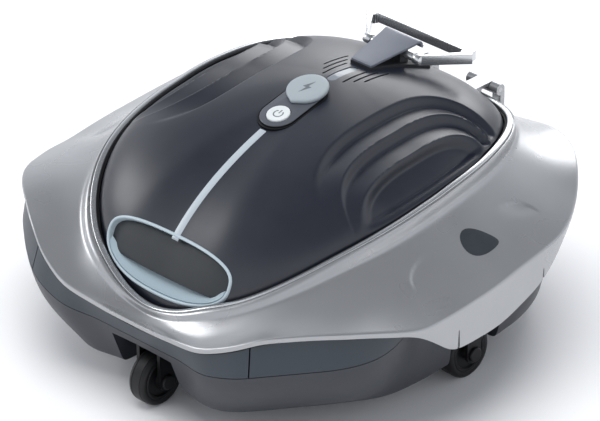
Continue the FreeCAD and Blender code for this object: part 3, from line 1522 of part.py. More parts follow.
def build_all():
    shell = make_shell()
    pieces = {
        "silver_shell": shell,
        "rim_trim": make_rim_trim(),
        "rim_gasket": make_rim_gasket(),
        "inner_deck": make_deck(),
        "lower_hull": make_lower_hull(),
        "hull_screws": make_hull_screws(),
        "suction_mouth": make_suction_mouth(),
        "inlet_flap": make_inlet_flap(),
        "brush_strips": make_brush_strips(),
        "filter_basket": make_filter_basket(),
        "filter_mesh": make_filter_mesh(),
        "filter_lid": make_filter_lid(),
        "pump_volute": make_volute(),
        "impeller": make_impeller(),
        "motor_shaft": make_motor_shaft(),
        "pump_motor": make_motor(),
        "shaft_seal": make_shaft_seal(),
        "eye_grille": make_eye_grille(),
        "outlet_duct": make_outlet_duct(),
        "jet_nozzles": Part.makeCompound([make_jet_nozzle(side) for side in (-1, 1)]),
        "jet_grilles": Part.makeCompound([make_jet_grille(side) for side in (-1, 1)]),
        "dome_cover": make_cover(),
        "light_strip": make_light_strip(),
        "vent_window": make_vent_window(),
        "vent_screen": make_vent_screen(),
        "control_plate": make_control_plate(),
        "power_button": make_power_button(),
        "charge_cap": make_charge_cap(),
        "charge_socket": make_charge_socket(),
        "grip_frame": make_grip_frame_piece(),
        "grip_panel": make_grip_panel(),
        "release_paddle": make_release_paddle(),
        "latch_magnet": make_latch_magnet(),
        "latch_keeper": make_latch_keeper(),
        "pod_body": make_pod_body(),
        "pod_gasket": make_pod_gasket(),
        "pod_lid": make_pod_lid(),
        "battery_cells": make_battery_cells(),
        "control_board": make_control_board(),
        "lift_ring": make_lift_ring(),
        "lift_clip": make_lift_clip(),
        "clip_base": make_clip_base(),
        "hinge_bracket": make_hinge_bracket(shell),
        "hinge_leaf": make_hinge_leaf(),
        "hinge_pins": make_hinge_pins(),
        "caster_fork": make_caster_fork(),
        "caster_clip": make_caster_clip(),
        "caster_axle": make_axle(0.0, caster_y),
    }
    pieces.update(make_bands())
    sides = (("right", side_wheel_x, side_wheel_y), ("left", -side_wheel_x, side_wheel_y))
    places = (("caster", 0.0, caster_y),) + sides
    for name, x, y in places:
        hub, tyre = make_wheel(x, y)
        pieces[name + "_wheel_hub"] = hub
        pieces[name + "_wheel_tyre"] = tyre
    pieces["side_wheel_forks"] = Part.makeCompound([make_fork(x, y, well_ceiling) for name, x, y in sides])
    pieces["side_axles"] = Part.makeCompound([make_axle(x, y) for name, x, y in sides])
    return pieces


os.makedirs("parts", exist_ok=True)
for name, shape in build_all().items():
    shape.exportStep(os.path.join("parts", name + ".step"))
    print(name, len(shape.Solids), round(shape.Volume), shape.isValid())

print("paddle axis", [round(value, 3) for value in paddle_axis()])
tilt = math.radians(dome_slope(plate_y))
pin_y, pin_z = cap_pin_place()
print("cap axis", round(plate_y + pin_y * math.cos(tilt) - pin_z * math.sin(tilt), 3),
      round(dome_height(0.0, plate_y) + pin_y * math.sin(tilt) + pin_z * math.cos(tilt), 3))
print("button axis", round(-math.sin(tilt), 5), round(math.cos(tilt), 5))
print("flap axis", round(flap_axis_y(), 3), round(flap_axis_z(), 3))
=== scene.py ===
import math
import bmesh
import bpy
import numpy as np
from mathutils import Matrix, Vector
from mathutils.bvhtree import BVHTree


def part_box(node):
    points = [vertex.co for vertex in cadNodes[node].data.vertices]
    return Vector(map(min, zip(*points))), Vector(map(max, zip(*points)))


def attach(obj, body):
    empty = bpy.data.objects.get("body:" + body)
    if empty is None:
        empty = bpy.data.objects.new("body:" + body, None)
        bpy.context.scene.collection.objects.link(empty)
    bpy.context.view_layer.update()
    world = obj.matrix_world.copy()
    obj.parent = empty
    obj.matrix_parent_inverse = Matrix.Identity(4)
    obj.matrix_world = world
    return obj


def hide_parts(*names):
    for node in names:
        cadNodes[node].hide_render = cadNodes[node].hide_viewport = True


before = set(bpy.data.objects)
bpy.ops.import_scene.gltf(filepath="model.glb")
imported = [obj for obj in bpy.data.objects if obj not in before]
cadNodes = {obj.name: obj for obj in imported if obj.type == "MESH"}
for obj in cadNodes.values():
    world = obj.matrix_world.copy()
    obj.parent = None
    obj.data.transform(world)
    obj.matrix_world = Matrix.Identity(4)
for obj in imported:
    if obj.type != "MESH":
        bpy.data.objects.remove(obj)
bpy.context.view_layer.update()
mm = 0.001
print("frame loaded:", len(cadNodes), "nodes")


# ---- materials ----

def newGroup(name, inputs, outputs):
    group = bpy.data.node_groups.new(name, "ShaderNodeTree")
    for socketName, socketType, value in inputs:
        socket = group.interface.new_socket(socketName, in_out="INPUT", socket_type=socketType)
        socket.default_value = value
    for socketName, socketType in outputs:
        group.interface.new_socket(socketName, in_out="OUTPUT", socket_type=socketType)
    return group, group.nodes.new("NodeGroupInput"), group.nodes.new("NodeGroupOutput")


def wire(tree, source, target):
    tree.links.new(source, target)


def makeGrainGroup():
    # fine moulded grain: a height and a small change in roughness
    group, start, end = newGroup("mouldedGrain",
                                 [("Scale", "NodeSocketFloat", 900.0), ("Rough low", "NodeSocketFloat", 0.4),
                                  ("Rough high", "NodeSocketFloat", 0.5)],
                                 [("Height", "NodeSocketFloat"), ("Roughness", "NodeSocketFloat")])
    coords = group.nodes.new("ShaderNodeTexCoord")
    fine = group.nodes.new("ShaderNodeTexNoise")
    fine.inputs["Detail"].default_value = 3.0
    wide = group.nodes.new("ShaderNodeTexNoise")
    wide.inputs["Scale"].default_value = 22.0
    wide.inputs["Detail"].default_value = 2.0
    spread = group.nodes.new("ShaderNodeMapRange")
    wire(group, coords.outputs["Object"], fine.inputs["Vector"])
    wire(group, coords.outputs["Object"], wide.inputs["Vector"])
    wire(group, start.outputs["Scale"], fine.inputs["Scale"])
    wire(group, wide.outputs["Fac"], spread.inputs["Value"])
    spread.inputs["From Min"].default_value = 0.35
    spread.inputs["From Max"].default_value = 0.65
    wire(group, start.outputs["Rough low"], spread.inputs["To Min"])
    wire(group, start.outputs["Rough high"], spread.inputs["To Max"])
    wire(group, fine.outputs["Fac"], end.inputs["Height"])
    wire(group, spread.outputs["Result"], end.inputs["Roughness"])
    return group


def makeToneGroup():
    # colour that drifts slightly over a piece, with a little dust in faces that look up
    group, start, end = newGroup("toneDrift",
                                 [("Color", "NodeSocketColor", (0.5, 0.5, 0.5, 1.0)),
                                  ("Second", "NodeSocketColor", (0.5, 0.5, 0.5, 1.0)),
                                  ("Scale", "NodeSocketFloat", 30.0), ("Dust", "NodeSocketFloat", 0.03)],
                                 [("Color", "NodeSocketColor")])
    coords = group.nodes.new("ShaderNodeTexCoord")
    noise = group.nodes.new("ShaderNodeTexNoise")
    noise.inputs["Detail"].default_value = 4.0
    mix = group.nodes.new("ShaderNodeMix")
    mix.data_type = "RGBA"
    geometry = group.nodes.new("ShaderNodeNewGeometry")
    split = group.nodes.new("ShaderNodeSeparateXYZ")
    upward = group.nodes.new("ShaderNodeMath")
    upward.operation = "MULTIPLY"
    speckle = group.nodes.new("ShaderNodeTexNoise")
    speckle.inputs["Scale"].default_value = 160.0
    amount = group.nodes.new("ShaderNodeMath")
    amount.operation = "MULTIPLY"
    amount.use_clamp = True
    dusty = group.nodes.new("ShaderNodeMix")
    dusty.data_type = "RGBA"
    dusty.inputs["B"].default_value = (0.55, 0.56, 0.56, 1.0)
    wire(group, coords.outputs["Object"], noise.inputs["Vector"])
    wire(group, coords.outputs["Object"], speckle.inputs["Vector"])
    wire(group, start.outputs["Scale"], noise.inputs["Scale"])
    wire(group, noise.outputs["Fac"], mix.inputs["Factor"])
    wire(group, start.outputs["Color"], mix.inputs["A"])
    wire(group, start.outputs["Second"], mix.inputs["B"])
    wire(group, geometry.outputs["Normal"], split.inputs["Vector"])
    wire(group, split.outputs["Z"], upward.inputs[0])
    wire(group, speckle.outputs["Fac"], upward.inputs[1])
    wire(group, upward.outputs["Value"], amount.inputs[0])
    wire(group, start.outputs["Dust"], amount.inputs[1])
    wire(group, amount.outputs["Value"], dusty.inputs["Factor"])
    wire(group, mix.outputs["Result"], dusty.inputs["A"])
    wire(group, dusty.outputs["Result"], end.inputs["Color"])
    return group


grainGroup = makeGrainGroup()
toneGroup = makeToneGroup()


def makeFinish(name, color, second, rough, grainScale=900.0, bump=0.02, metallic=0.0, coat=0.0, dust=0.03,
               toneScale=30.0, extra=None):
    material = bpy.data.materials.new(name)
    material.use_nodes = True
    tree = material.node_tree
    shader = tree.nodes["Principled BSDF"]
    tone = tree.nodes.new("ShaderNodeGroup")
    tone.node_tree = toneGroup
    tone.inputs["Color"].default_value = (*color, 1.0)
    tone.inputs["Second"].default_value = (*second, 1.0)
    tone.inputs["Scale"].default_value = toneScale
    tone.inputs["Dust"].default_value = dust
    grain = tree.nodes.new("ShaderNodeGroup")
    grain.node_tree = grainGroup
    grain.inputs["Scale"].default_value = grainScale
    grain.inputs["Rough low"].default_value = rough[0]
    grain.inputs["Rough high"].default_value = rough[1]
    bumpNode = tree.nodes.new("ShaderNodeBump")
    bumpNode.inputs["Strength"].default_value = bump
    bumpNode.inputs["Distance"].default_value = 0.0004
    wire(tree, tone.outputs["Color"], shader.inputs["Base Color"])
    wire(tree, grain.outputs["Roughness"], shader.inputs["Roughness"])
    wire(tree, grain.outputs["Height"], bumpNode.inputs["Height"])
    wire(tree, bumpNode.outputs["Normal"], shader.inputs["Normal"])
    shader.inputs["Metallic"].default_value = metallic
    shader.inputs["Coat Weight"].default_value = coat
    shader.inputs["Coat Roughness"].default_value = 0.08
    for socketName, value in (extra or {}).items():
        shader.inputs[socketName].default_value = value
    return material


finishes = {
    "silver": makeFinish("satinSilver", (0.40, 0.405, 0.415), (0.44, 0.445, 0.455), (0.26, 0.31), 2600.0, 0.06, 0.72, 0.0, 0.01),
    "bright": makeFinish("brightTrim", (0.66, 0.67, 0.68), (0.72, 0.73, 0.74), (0.20, 0.26), 1500.0, 0.02, 0.9, 0.0, 0.0),
    "dome": makeFinish("domeGloss", (0.0075, 0.0095, 0.018), (0.0095, 0.012, 0.021), (0.34, 0.39), 1800.0, 0.02, 0.0, 0.0, 0.01,
                       30.0, {"Specular IOR Level": 0.75}),
    "hull": makeFinish("hullPlastic", (0.028, 0.031, 0.040), (0.034, 0.037, 0.047), (0.42, 0.50), 1400.0, 0.10, 0.0, 0.0, 0.02),
    "band": makeFinish("bandPlastic", (0.026, 0.036, 0.047), (0.031, 0.042, 0.054), (0.40, 0.47), 1400.0, 0.10, 0.0, 0.0, 0.02),
    "pale": makeFinish("palePlastic", (0.42, 0.50, 0.545), (0.46, 0.54, 0.585), (0.30, 0.36), 1200.0, 0.02, 0.0, 0.0, 0.01),
    "scoop": makeFinish("scoopPlastic", (0.30, 0.38, 0.425), (0.33, 0.41, 0.455), (0.36, 0.42), 1200.0, 0.02, 0.0, 0.0, 0.01),
    "panel": makeFinish("panelPlastic", (0.020, 0.023, 0.026), (0.024, 0.027, 0.031), (0.50, 0.58), 1600.0, 0.12, 0.0, 0.0, 0.02),
    "plate": makeFinish("platePlastic", (0.065, 0.072, 0.088), (0.075, 0.083, 0.10), (0.36, 0.44), 1600.0, 0.06, 0.0, 0.0, 0.02),
    "light": makeFinish("lightBar", (0.40, 0.45, 0.49), (0.44, 0.49, 0.53), (0.30, 0.36), 800.0, 0.03, 0.0, 0.0, 0.01),
    "window": makeFinish("ventWindow", (0.17, 0.19, 0.22), (0.20, 0.22, 0.25), (0.2, 0.26), 800.0, 0.01),
    "mesh": makeFinish("filterCloth", (0.03, 0.03, 0.035), (0.05, 0.05, 0.055), (0.7, 0.8), 1500.0, 0.4),
    "button": makeFinish("buttonGloss", (0.62, 0.65, 0.66), (0.67, 0.70, 0.71), (0.18, 0.24), 800.0, 0.01, 0.0, 0.0, 0.0),
    "cap": makeFinish("capRubber", (0.29, 0.33, 0.355), (0.32, 0.36, 0.385), (0.50, 0.58), 1800.0, 0.08, 0.0, 0.0, 0.02),
    "mark": makeFinish("softMark", (0.10, 0.115, 0.13), (0.13, 0.145, 0.16), (0.5, 0.6), 1800.0, 0.02),
    "badge": makeFinish("darkBadge", (0.018, 0.024, 0.031), (0.022, 0.028, 0.036), (0.34, 0.40), 1200.0, 0.02),
    "steel": makeFinish("brushedSteel", (0.45, 0.45, 0.46), (0.52, 0.52, 0.53), (0.28, 0.36), 700.0, 0.05, 1.0),
    "clip": makeFinish("clipPaint", (0.17, 0.185, 0.22), (0.20, 0.215, 0.25), (0.34, 0.42), 1800.0, 0.05, 0.3),
    "black": makeFinish("blackPlastic", (0.003, 0.0032, 0.004), (0.005, 0.0052, 0.006), (0.36, 0.44), 1400.0, 0.06, 0.0, 0.0,
                        0.01, 30.0, {"Specular IOR Level": 0.3}),
    "tyre": makeFinish("tyreRubber", (0.003, 0.003, 0.0035), (0.005, 0.005, 0.0055), (0.34, 0.44), 1600.0, 0.10, 0.0, 0.0,
                       0.01, 30.0, {"Specular IOR Level": 0.35}),
    "rubber": makeFinish("sealRubber", (0.005, 0.005, 0.006), (0.008, 0.008, 0.009), (0.6, 0.7), 1500.0, 0.1, 0.0, 0.0,
                         0.01, 30.0, {"Specular IOR Level": 0.25}),
    "dark": makeFinish("darkPlastic", (0.016, 0.017, 0.020), (0.020, 0.021, 0.024), (0.5, 0.58), 1200.0, 0.1),
    "basket": makeFinish("basketPlastic", (0.12, 0.15, 0.18), (0.14, 0.17, 0.20), (0.38, 0.46), 1000.0, 0.05),
    "pod": makeFinish("podPlastic", (0.045, 0.048, 0.055), (0.055, 0.058, 0.065), (0.42, 0.5), 1000.0, 0.08),
    "cell": makeFinish("cellWrap", (0.02, 0.10, 0.22), (0.03, 0.12, 0.25), (0.25, 0.32), 600.0, 0.02),
    "board": makeFinish("boardGreen", (0.010, 0.08, 0.035), (0.014, 0.10, 0.045), (0.35, 0.45), 600.0, 0.02),
    "brass": makeFinish("socketBrass", (0.60, 0.45, 0.20), (0.66, 0.51, 0.26), (0.22, 0.3), 600.0, 0.02, 1.0),
    "pump": makeFinish("impellerPlastic", (0.45, 0.46, 0.47), (0.50, 0.51, 0.52), (0.35, 0.42), 900.0, 0.03),
    "bristle": makeFinish("brushBristle", (0.02, 0.035, 0.07), (0.035, 0.055, 0.10), (0.5, 0.6), 900.0, 0.05),
}
finishOfNode = {
    "silver": ["silver_shell", "hinge_bracket", "hinge_leaf"],
    "bright": ["rim_trim", "lift_ring"],
    "rubber": ["rim_gasket", "pod_gasket", "shaft_seal", "inlet_flap"],
    "dark": ["inner_deck", "suction_mouth", "outlet_duct", "jet_nozzles", "jet_grilles",
             "pump_volute", "eye_grille", "clip_base"],
    "hull": ["lower_hull"],
    "band": ["front_bumper_band", "rear_bumper_band", "corner_bumper_panels"],
    "dome": ["dome_cover"],
    "pale": ["grip_frame"],
    "scoop": ["release_paddle"],
    "panel": ["grip_panel"],
    "plate": ["control_plate"],
    "light": ["light_strip"],
    "window": ["vent_window"],
    "mesh": ["vent_screen", "filter_mesh"],
    "button": ["power_button"],
    "cap": ["charge_cap"],
    "brass": ["charge_socket"],
    "steel": ["hull_screws", "latch_keeper", "latch_magnet", "hinge_pins", "caster_clip",
              "motor_shaft", "pump_motor"],
    "clip": ["lift_clip"],
    "bristle": ["brush_strips"],
    "basket": ["filter_basket", "filter_lid"],
    "pump": ["impeller"],
    "pod": ["pod_body", "pod_lid"],
    "cell": ["battery_cells"],
    "board": ["control_board"],
    "black": ["caster_wheel_hub", "right_wheel_hub", "left_wheel_hub", "caster_fork", "side_wheel_forks",
              "caster_axle", "side_axles"],
    "tyre": ["caster_wheel_tyre", "right_wheel_tyre", "left_wheel_tyre"],
}
for finishName, members in finishOfNode.items():
    for nodeName in members:
        materials = cadNodes[nodeName].data.materials
        materials.clear()
        materials.append(finishes[finishName])
print("materials ready:", len(finishes))


# ---- mesh helpers (all lengths in millimetres until makeMesh) ----

def makeMesh(name, points, faces, finish, smoothAngle=38.0):
    mesh = bpy.data.meshes.new(name)
    mesh.from_pydata([(p[0] * mm, p[1] * mm, p[2] * mm) for p in points], [], faces)
    mesh.validate()
    mesh.materials.append(finishes[finish])
    mesh.shade_smooth()
    mesh.set_sharp_from_angle(angle=math.radians(smoothAngle))
    piece = bpy.data.objects.new(name, mesh)
    bpy.context.scene.collection.objects.link(piece)
    return piece


def faceOut(piece):
    bm = bmesh.new()
    bm.from_mesh(piece.data)
    bmesh.ops.remove_doubles(bm, verts=bm.verts, dist=0.000002)
    bmesh.ops.recalc_face_normals(bm, faces=bm.faces)
    bm.to_mesh(piece.data)
    bm.free()
    return piece


def applyModifiers(piece, smoothAngle=38.0):
    bpy.context.view_layer.update()
    shaped = bpy.data.meshes.new_from_object(piece.evaluated_get(bpy.context.evaluated_depsgraph_get()))
    old = piece.data
    piece.modifiers.clear()
    piece.data = shaped
    bpy.data.meshes.remove(old)
    shaped.shade_smooth()
    shaped.set_sharp_from_angle(angle=math.radians(smoothAngle))
    return piece


def bevelPiece(piece, width, segments=3, limit=40.0):
    bevel = piece.modifiers.new("softEdges", "BEVEL")
    bevel.width = width * mm
    bevel.segments = segments
    bevel.limit_method = "ANGLE"
    bevel.angle_limit = math.radians(limit)
    bevel.harden_normals = False
    return applyModifiers(piece)


def place(piece, body, slotName, *replaced):
    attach(piece, body)
    if replaced:
        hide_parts(*replaced)
    return piece


def gridFaces(rows, columns, closeRows=False, closeColumns=False):
    faces = []
    for row in range(rows if closeRows else rows - 1):
        for column in range(columns if closeColumns else columns - 1):
            nextRow, nextColumn = (row + 1) % rows, (column + 1) % columns
            faces.append((row * columns + column, row * columns + nextColumn,
                          nextRow * columns + nextColumn, nextRow * columns + column))
    return faces


def prism(outline, low, high):
    # closed prism from a plan outline; low and high are heights or lists of heights
    count = len(outline)
    lows = low if hasattr(low, "__len__") else [low] * count
    highs = high if hasattr(high, "__len__") else [high] * count
    points = [(x, y, z) for (x, y), z in zip(outline, lows)] + [(x, y, z) for (x, y), z in zip(outline, highs)]
    faces = [tuple(reversed(range(count))), tuple(range(count, 2 * count))]
    faces += [(i, (i + 1) % count, count + (i + 1) % count, count + i) for i in range(count)]
    return points, faces


def merged(*parts):
    points, faces = [], []
    for partPoints, partFaces in parts:
        start = len(points)
        points += [tuple(p) for p in partPoints]
        faces += [tuple(index + start for index in face) for face in partFaces]
    return points, faces


def lathe(profile, origin, axis, steps=64):
    # profile of (radius, along) turned round an axis through origin
    axis = Vector(axis).normalized()
    side = axis.cross(Vector((0.0, 0.0, 1.0)) if abs(axis.z) < 0.9 else Vector((0.0, 1.0, 0.0))).normalized()
    other = axis.cross(side)
    origin = Vector(origin)
    points = []
    for radius, along in profile:
        for step in range(steps):
            turn = 2 * math.pi * step / steps
            points.append(origin + axis * along + (side * math.cos(turn) + other * math.sin(turn)) * radius)
    faces = gridFaces(len(profile), steps, closeColumns=True)
    faces.append(tuple(reversed(range(steps))))
    faces.append(tuple(range((len(profile) - 1) * steps, len(profile) * steps)))
    return points, faces


def rodBetween(radius, start, end, steps=32, rounding=0.5):
    length = (Vector(end) - Vector(start)).length
    profile = [(radius - rounding, 0.0), (radius - rounding * 0.3, rounding * 0.3), (radius, rounding),
               (radius, length - rounding), (radius - rounding * 0.3, length - rounding * 0.3),
               (radius - rounding, length)]
    return lathe(profile, start, Vector(end) - Vector(start), steps)


def boxPart(x0, x1, y0, y1, z0, z1):
    return prism([(x0, y0), (x1, y0), (x1, y1), (x0, y1)], z0, z1)


def cutWith(piece, cutter, solver="EXACT"):
    cut = piece.modifiers.new("opening", "BOOLEAN")
    cut.operation = "DIFFERENCE"
    cut.solver = solver
    cut.object = cutter
    applyModifiers(piece)
    bpy.data.objects.remove(cutter)
    return piece


# ---- plan curves shared by the shell, trim and cover ----

outlineStations = {
    "edge": ((0, 183), (12, 187), (18, 192.5), (22, 198), (26, 201), (30, 204), (36, 206.5), (44, 210),
             (49, 213.5), (54, 215.5), (58.5, 215), (63, 213.5), (68, 212), (73.5, 206), (81.5, 201),
             (90, 198.7), (97, 198.4), (105, 202), (112.5, 206.8), (123, 207), (132, 206), (140, 205),
             (148, 203), (154, 200), (159, 195), (168, 187), (180, 183)),
    "crest": ((0, 80), (12, 81), (19, 83), (22, 86), (26, 91), (30, 97), (35.5, 106), (39, 109),
              (44, 112.5), (49, 115), (55, 115.5), (58.5, 114), (63, 111), (68, 108.5), (73.5, 108.5),
              (81, 111), (90, 114), (97, 117), (105, 120), (112, 123), (123, 131), (132, 139),
              (140, 141), (150, 138), (160, 131), (170, 126), (180, 124)),
    "hang": ((0, 4.5), (62, 4.5), (67, 6), (70, 13), (73, 22), (76, 31), (85, 34.5), (93, 35), (99, 32),
             (104, 27.5), (108, 20), (113, 7), (118, 5), (180, 5)),
    "rim": ((0, 84), (9, 89), (18, 100), (26, 108.5), (34, 119), (43, 131), (53, 142), (66, 151),
            (81, 158), (91, 161.5), (99, 164.5), (110, 167), (125, 168.5), (140, 165), (160, 155), (180, 150)),
    "collarDrop": ((0, 5), (20, 6), (35, 8), (50, 10.5), (70, 12), (120, 12), (150, 8), (180, 7)),
    "collarWidth": ((0, 4.5), (15, 8), (30, 9.5), (50, 8), (90, 5), (130, 5), (180, 5)),
}
rimSize = {"halfWidth": 133.5, "front": 162.7, "back": 159.0, "squareness": 2.4}


def stationCurve(name, blur=1.6):
    # smooth closed curve through the stations, the same on both sides
    table = outlineStations[name]
    xs = np.array([p[0] for p in table], float)
    ys = np.array([p[1] for p in table], float)
    slopes = np.zeros(len(xs))
    slopes[1:-1] = (ys[2:] - ys[:-2]) / (xs[2:] - xs[:-2])
    fine = np.arange(0.0, 180.001, 0.25)
    place0 = np.clip(np.searchsorted(xs, fine, side="right") - 1, 0, len(xs) - 2)
    span = xs[place0 + 1] - xs[place0]
    t = (fine - xs[place0]) / span
    values = (1 + 2 * t) * (1 - t) ** 2 * ys[place0] + t * (1 - t) ** 2 * span * slopes[place0]
    values += t * t * (3 - 2 * t) * ys[place0 + 1] + t * t * (t - 1) * span * slopes[place0 + 1]
    ring = np.concatenate([values, values[-2:0:-1]])
    reach = int(blur * 12)
    offsets = np.arange(-reach, reach + 1)
    weights = np.exp(-0.5 * (offsets * 0.25 / blur) ** 2)
    weights /= weights.sum()
    smooth = sum(w * np.roll(ring, o) for w, o in zip(weights, offsets))
    degrees = np.arange(len(ring)) * 0.25
    return lambda angle: np.interp(np.mod(angle, 360.0), degrees, smooth, period=360.0)


curves = {name: stationCurve(name) for name in outlineStations}


def rimRadius(angle):
    turn = np.radians(angle)
    half = np.where(np.cos(turn) > 0, rimSize["front"], rimSize["back"])
    power = rimSize["squareness"]
    across = np.abs(np.sin(turn) / rimSize["halfWidth"]) ** power
    return (across + np.abs(np.cos(turn) / half) ** power) ** (-1.0 / power)


def ringAngles(count, sideStart, sideEnd, sideWeight):
    # angles packed closer along both sides, where the detail is
    fine = np.arange(0.0, 360.0, 0.05)
    folded = np.abs((fine + 180.0) % 360.0 - 180.0)
    weight = 1.0 + (sideWeight - 1.0) / (1 + np.exp(-(folded - sideStart) / 3.0)) / (1 + np.exp((folded - sideEnd) / 3.0))
    total = np.concatenate([[0.0], np.cumsum(weight)])
    return np.interp(np.arange(count) / count * total[-1], total[:-1], fine)


def ringPoints(angles, radius, height):
    turn = np.radians(angles)
    return np.stack([radius * np.sin(turn), -radius * np.cos(turn), height], -1)


def splineRows(controls, samples):
    # closed uniform cubic B-spline through rings of control values; samples gives rows per span
    rows = []
    count = len(controls)
    for place0 in range(count):
        a, b, c, d = (controls[(place0 + shift) % count] for shift in (-1, 0, 1, 2))
        for step in range(samples[place0]):
            t = step / samples[place0]
            rows.append(((1 - t) ** 3 * a + (3 * t ** 3 - 6 * t * t + 4) * b
                         + (-3 * t ** 3 + 3 * t * t + 3 * t + 1) * c + t ** 3 * d) / 6.0)
    return rows


def closedRing(name, controls, samples, angles, finish, adjust=None):
    rows = splineRows([np.stack(pair, -1) for pair in controls], samples)
    points = np.stack([ringPoints(angles, row[:, 0], row[:, 1]) for row in rows])
    if adjust is not None:
        points = adjust(points)
    flat = points.reshape(-1, 3)
    piece = makeMesh(name, flat, gridFaces(len(rows), len(angles), closeRows=True, closeColumns=True), finish)
    return faceOut(piece)


def smoothStep(value, low, high):
    t = np.clip((value - low) / (high - low), 0.0, 1.0)
    return t * t * (3 - 2 * t)


# ---- silver shell ----

shellValues = {"wall": 2.8, "dish": 2.5, "lip": 2.8, "groove": 0.75, "grooveDepth": 1.7, "crestRound": 3.2,
               "recessDepth": 1.0, "recessEdge": 1.1, "ringCount": 600}


def wingRecess(points):
    # shallow panel pressed into each wing, showing only at its two inner corners
    x, y = np.abs(points[..., 0]), points[..., 1]
    level = (np.abs((x - 205.0) / 52.0) ** 6 + np.abs((y - 8.0) / 69.0) ** 6) ** (1 / 6.0)
    edge = smoothStep((1.0 - level) * 52.0, 0.0, shellValues["recessEdge"])
    corner = smoothStep(np.abs(y - 8.0), 34.0, 56.0) * (1.0 - smoothStep(x, 160.0, 172.0))
    inner = 1.0 - smoothStep((1.0 - level) * 52.0, 3.0, 16.0)
    top = points[..., 2] > 112.0
    points[..., 2] -= shellValues["recessDepth"] * edge * corner * inner * top
    return points


def shellControls(angles):
    values = shellValues
    rimR, rimZ = rimRadius(angles), curves["rim"](angles)
    edgeR, edgeZ, hang = curves["edge"](angles), curves["crest"](angles), curves["hang"](angles)
    width, drop = curves["collarWidth"](angles), curves["collarDrop"](angles)
    foldR, foldZ = rimR + width, rimZ - drop
    wall, lip = values["wall"], rimR + values["lip"]
    grooveEnd = lip + values["groove"]
    run = np.hypot(edgeR - foldR, edgeZ - foldZ)

    def top(share, sink=0.0):
        dish = values["dish"] * np.sin(math.pi * share)
        return (foldR + (edgeR - foldR) * share - sink * (foldZ - edgeZ) / run,
                foldZ + (edgeZ - foldZ) * share - dish - sink * (edgeR - foldR) / run)

    controls = [(rimR, rimZ - 8.9), (rimR, rimZ - 5.0), (rimR, rimZ - 1.2), (rimR + 0.1, rimZ - 0.5),
                (rimR + 1.2, rimZ - 0.45), (lip - 0.2, rimZ - 0.5), (lip, rimZ - values["grooveDepth"]),
                (grooveEnd, rimZ - values["grooveDepth"]), (grooveEnd + 0.1, rimZ - 0.4),
                (grooveEnd + 0.5, rimZ - 0.2), (rimR + width * 0.45 + 2.6, rimZ - drop * 0.22),
                (rimR + width * 0.75 + 1.2, rimZ - drop * 0.6), (foldR, foldZ)]
    samples = [1, 2, 1, 1, 1, 1, 1, 1, 1, 2, 3, 3, 3]
    for share in (0.08, 0.2, 0.35, 0.5, 0.65, 0.8, 0.9):
        controls.append(top(share))
        samples.append(6)
    controls.append(top(1.0 - values["crestRound"] / run))
    controls += [(edgeR, edgeZ), (edgeR - 0.15, edgeZ - np.minimum(values["crestRound"], hang * 0.4)),
                 (edgeR - 0.3, edgeZ - hang * 0.5), (edgeR - 0.5, edgeZ - hang + 0.9), (edgeR - 0.6, edgeZ - hang),
                 (edgeR - 1.4, edgeZ - hang), (edgeR - 0.6 - wall, edgeZ - hang),
                 (edgeR - 0.5 - wall, edgeZ - hang + 0.9), (edgeR - 0.3 - wall, edgeZ - wall - 0.6)]
    samples += [3, 3, 4, 4, 1, 1, 1, 1, 3, 2]
    for share in (0.85, 0.6, 0.35, 0.12):
        controls.append(top(share, wall))
        samples.append(2)
    controls += [(foldR - wall * 0.75, foldZ - wall * 0.5), (rimR + 2.2, rimZ - 7.4), (rimR + 2.2, rimZ - 8.9)]
    samples += [2, 1, 1]
    return controls, samples


def slitCutter():
    # wedge slits in the lower edge of each side skirt
    parts = []
    for y, top, bottom in ((-43.0, 93.0, 70.0), (53.0, 104.0, 84.0)):
        for side in (-1, 1):
            x0, x1 = sorted((side * 185.0, side * 215.0))
            outline = [(y - 0.35, top), (y + 0.35, top), (y + 1.5, bottom), (y - 1.5, bottom)]
            points = [(x0, a, b) for a, b in outline] + [(x1, a, b) for a, b in outline]
            faces = [(3, 2, 1, 0), (4, 5, 6, 7)] + [(i, (i + 1) % 4, 4 + (i + 1) % 4, 4 + i) for i in range(4)]
            parts.append((points, faces))
    return faceOut(makeMesh("slitCutter", *merged(*parts), "dark"))


shellAngles = ringAngles(shellValues["ringCount"], 62.0, 122.0, 2.2)
controls, samples = shellControls(shellAngles)
shellPiece = closedRing("silverShell", controls, samples, shellAngles, "silver", wingRecess)
cutWith(shellPiece, slitCutter())
place(shellPiece, "base", "satin_silver", "silver_shell")
print("shell:", len(shellPiece.data.polygons), "faces")


# ---- bright trim ring; the gasket inside it stays the imported part ----

trimValues = {"inside": 1.95, "outside": 2.7, "rise": 1.0, "depth": 6.3, "ringCount": 480}
trimAngles = ringAngles(trimValues["ringCount"], 0.0, 180.0, 1.0)


def makeTrim():
    rimR, rimZ = rimRadius(trimAngles), curves["rim"](trimAngles)
    inner, outer, rise = rimR - trimValues["inside"], rimR + trimValues["outside"], trimValues["rise"]
    controls = [(inner, rimZ - trimValues["depth"]), (inner, rimZ - 2.0), (inner, rimZ + rise * 0.6),
                (inner + 0.5, rimZ + rise), (rimR, rimZ + rise * 1.1), (outer - 0.6, rimZ + rise * 0.85),
                (outer, rimZ + rise * 0.3), (outer, rimZ - 0.4), (outer - 0.8, rimZ - 0.42),
                (rimR - 0.05, rimZ - 0.42), (rimR - 0.08, rimZ - 2.0), (rimR - 0.08, rimZ - trimValues["depth"])]
    return closedRing("rimTrim", controls, [2] * len(controls), trimAngles, "bright")


place(makeTrim(), "base", "bright_trim", "rim_trim")
print("trim ready")


# ---- domed cover ----

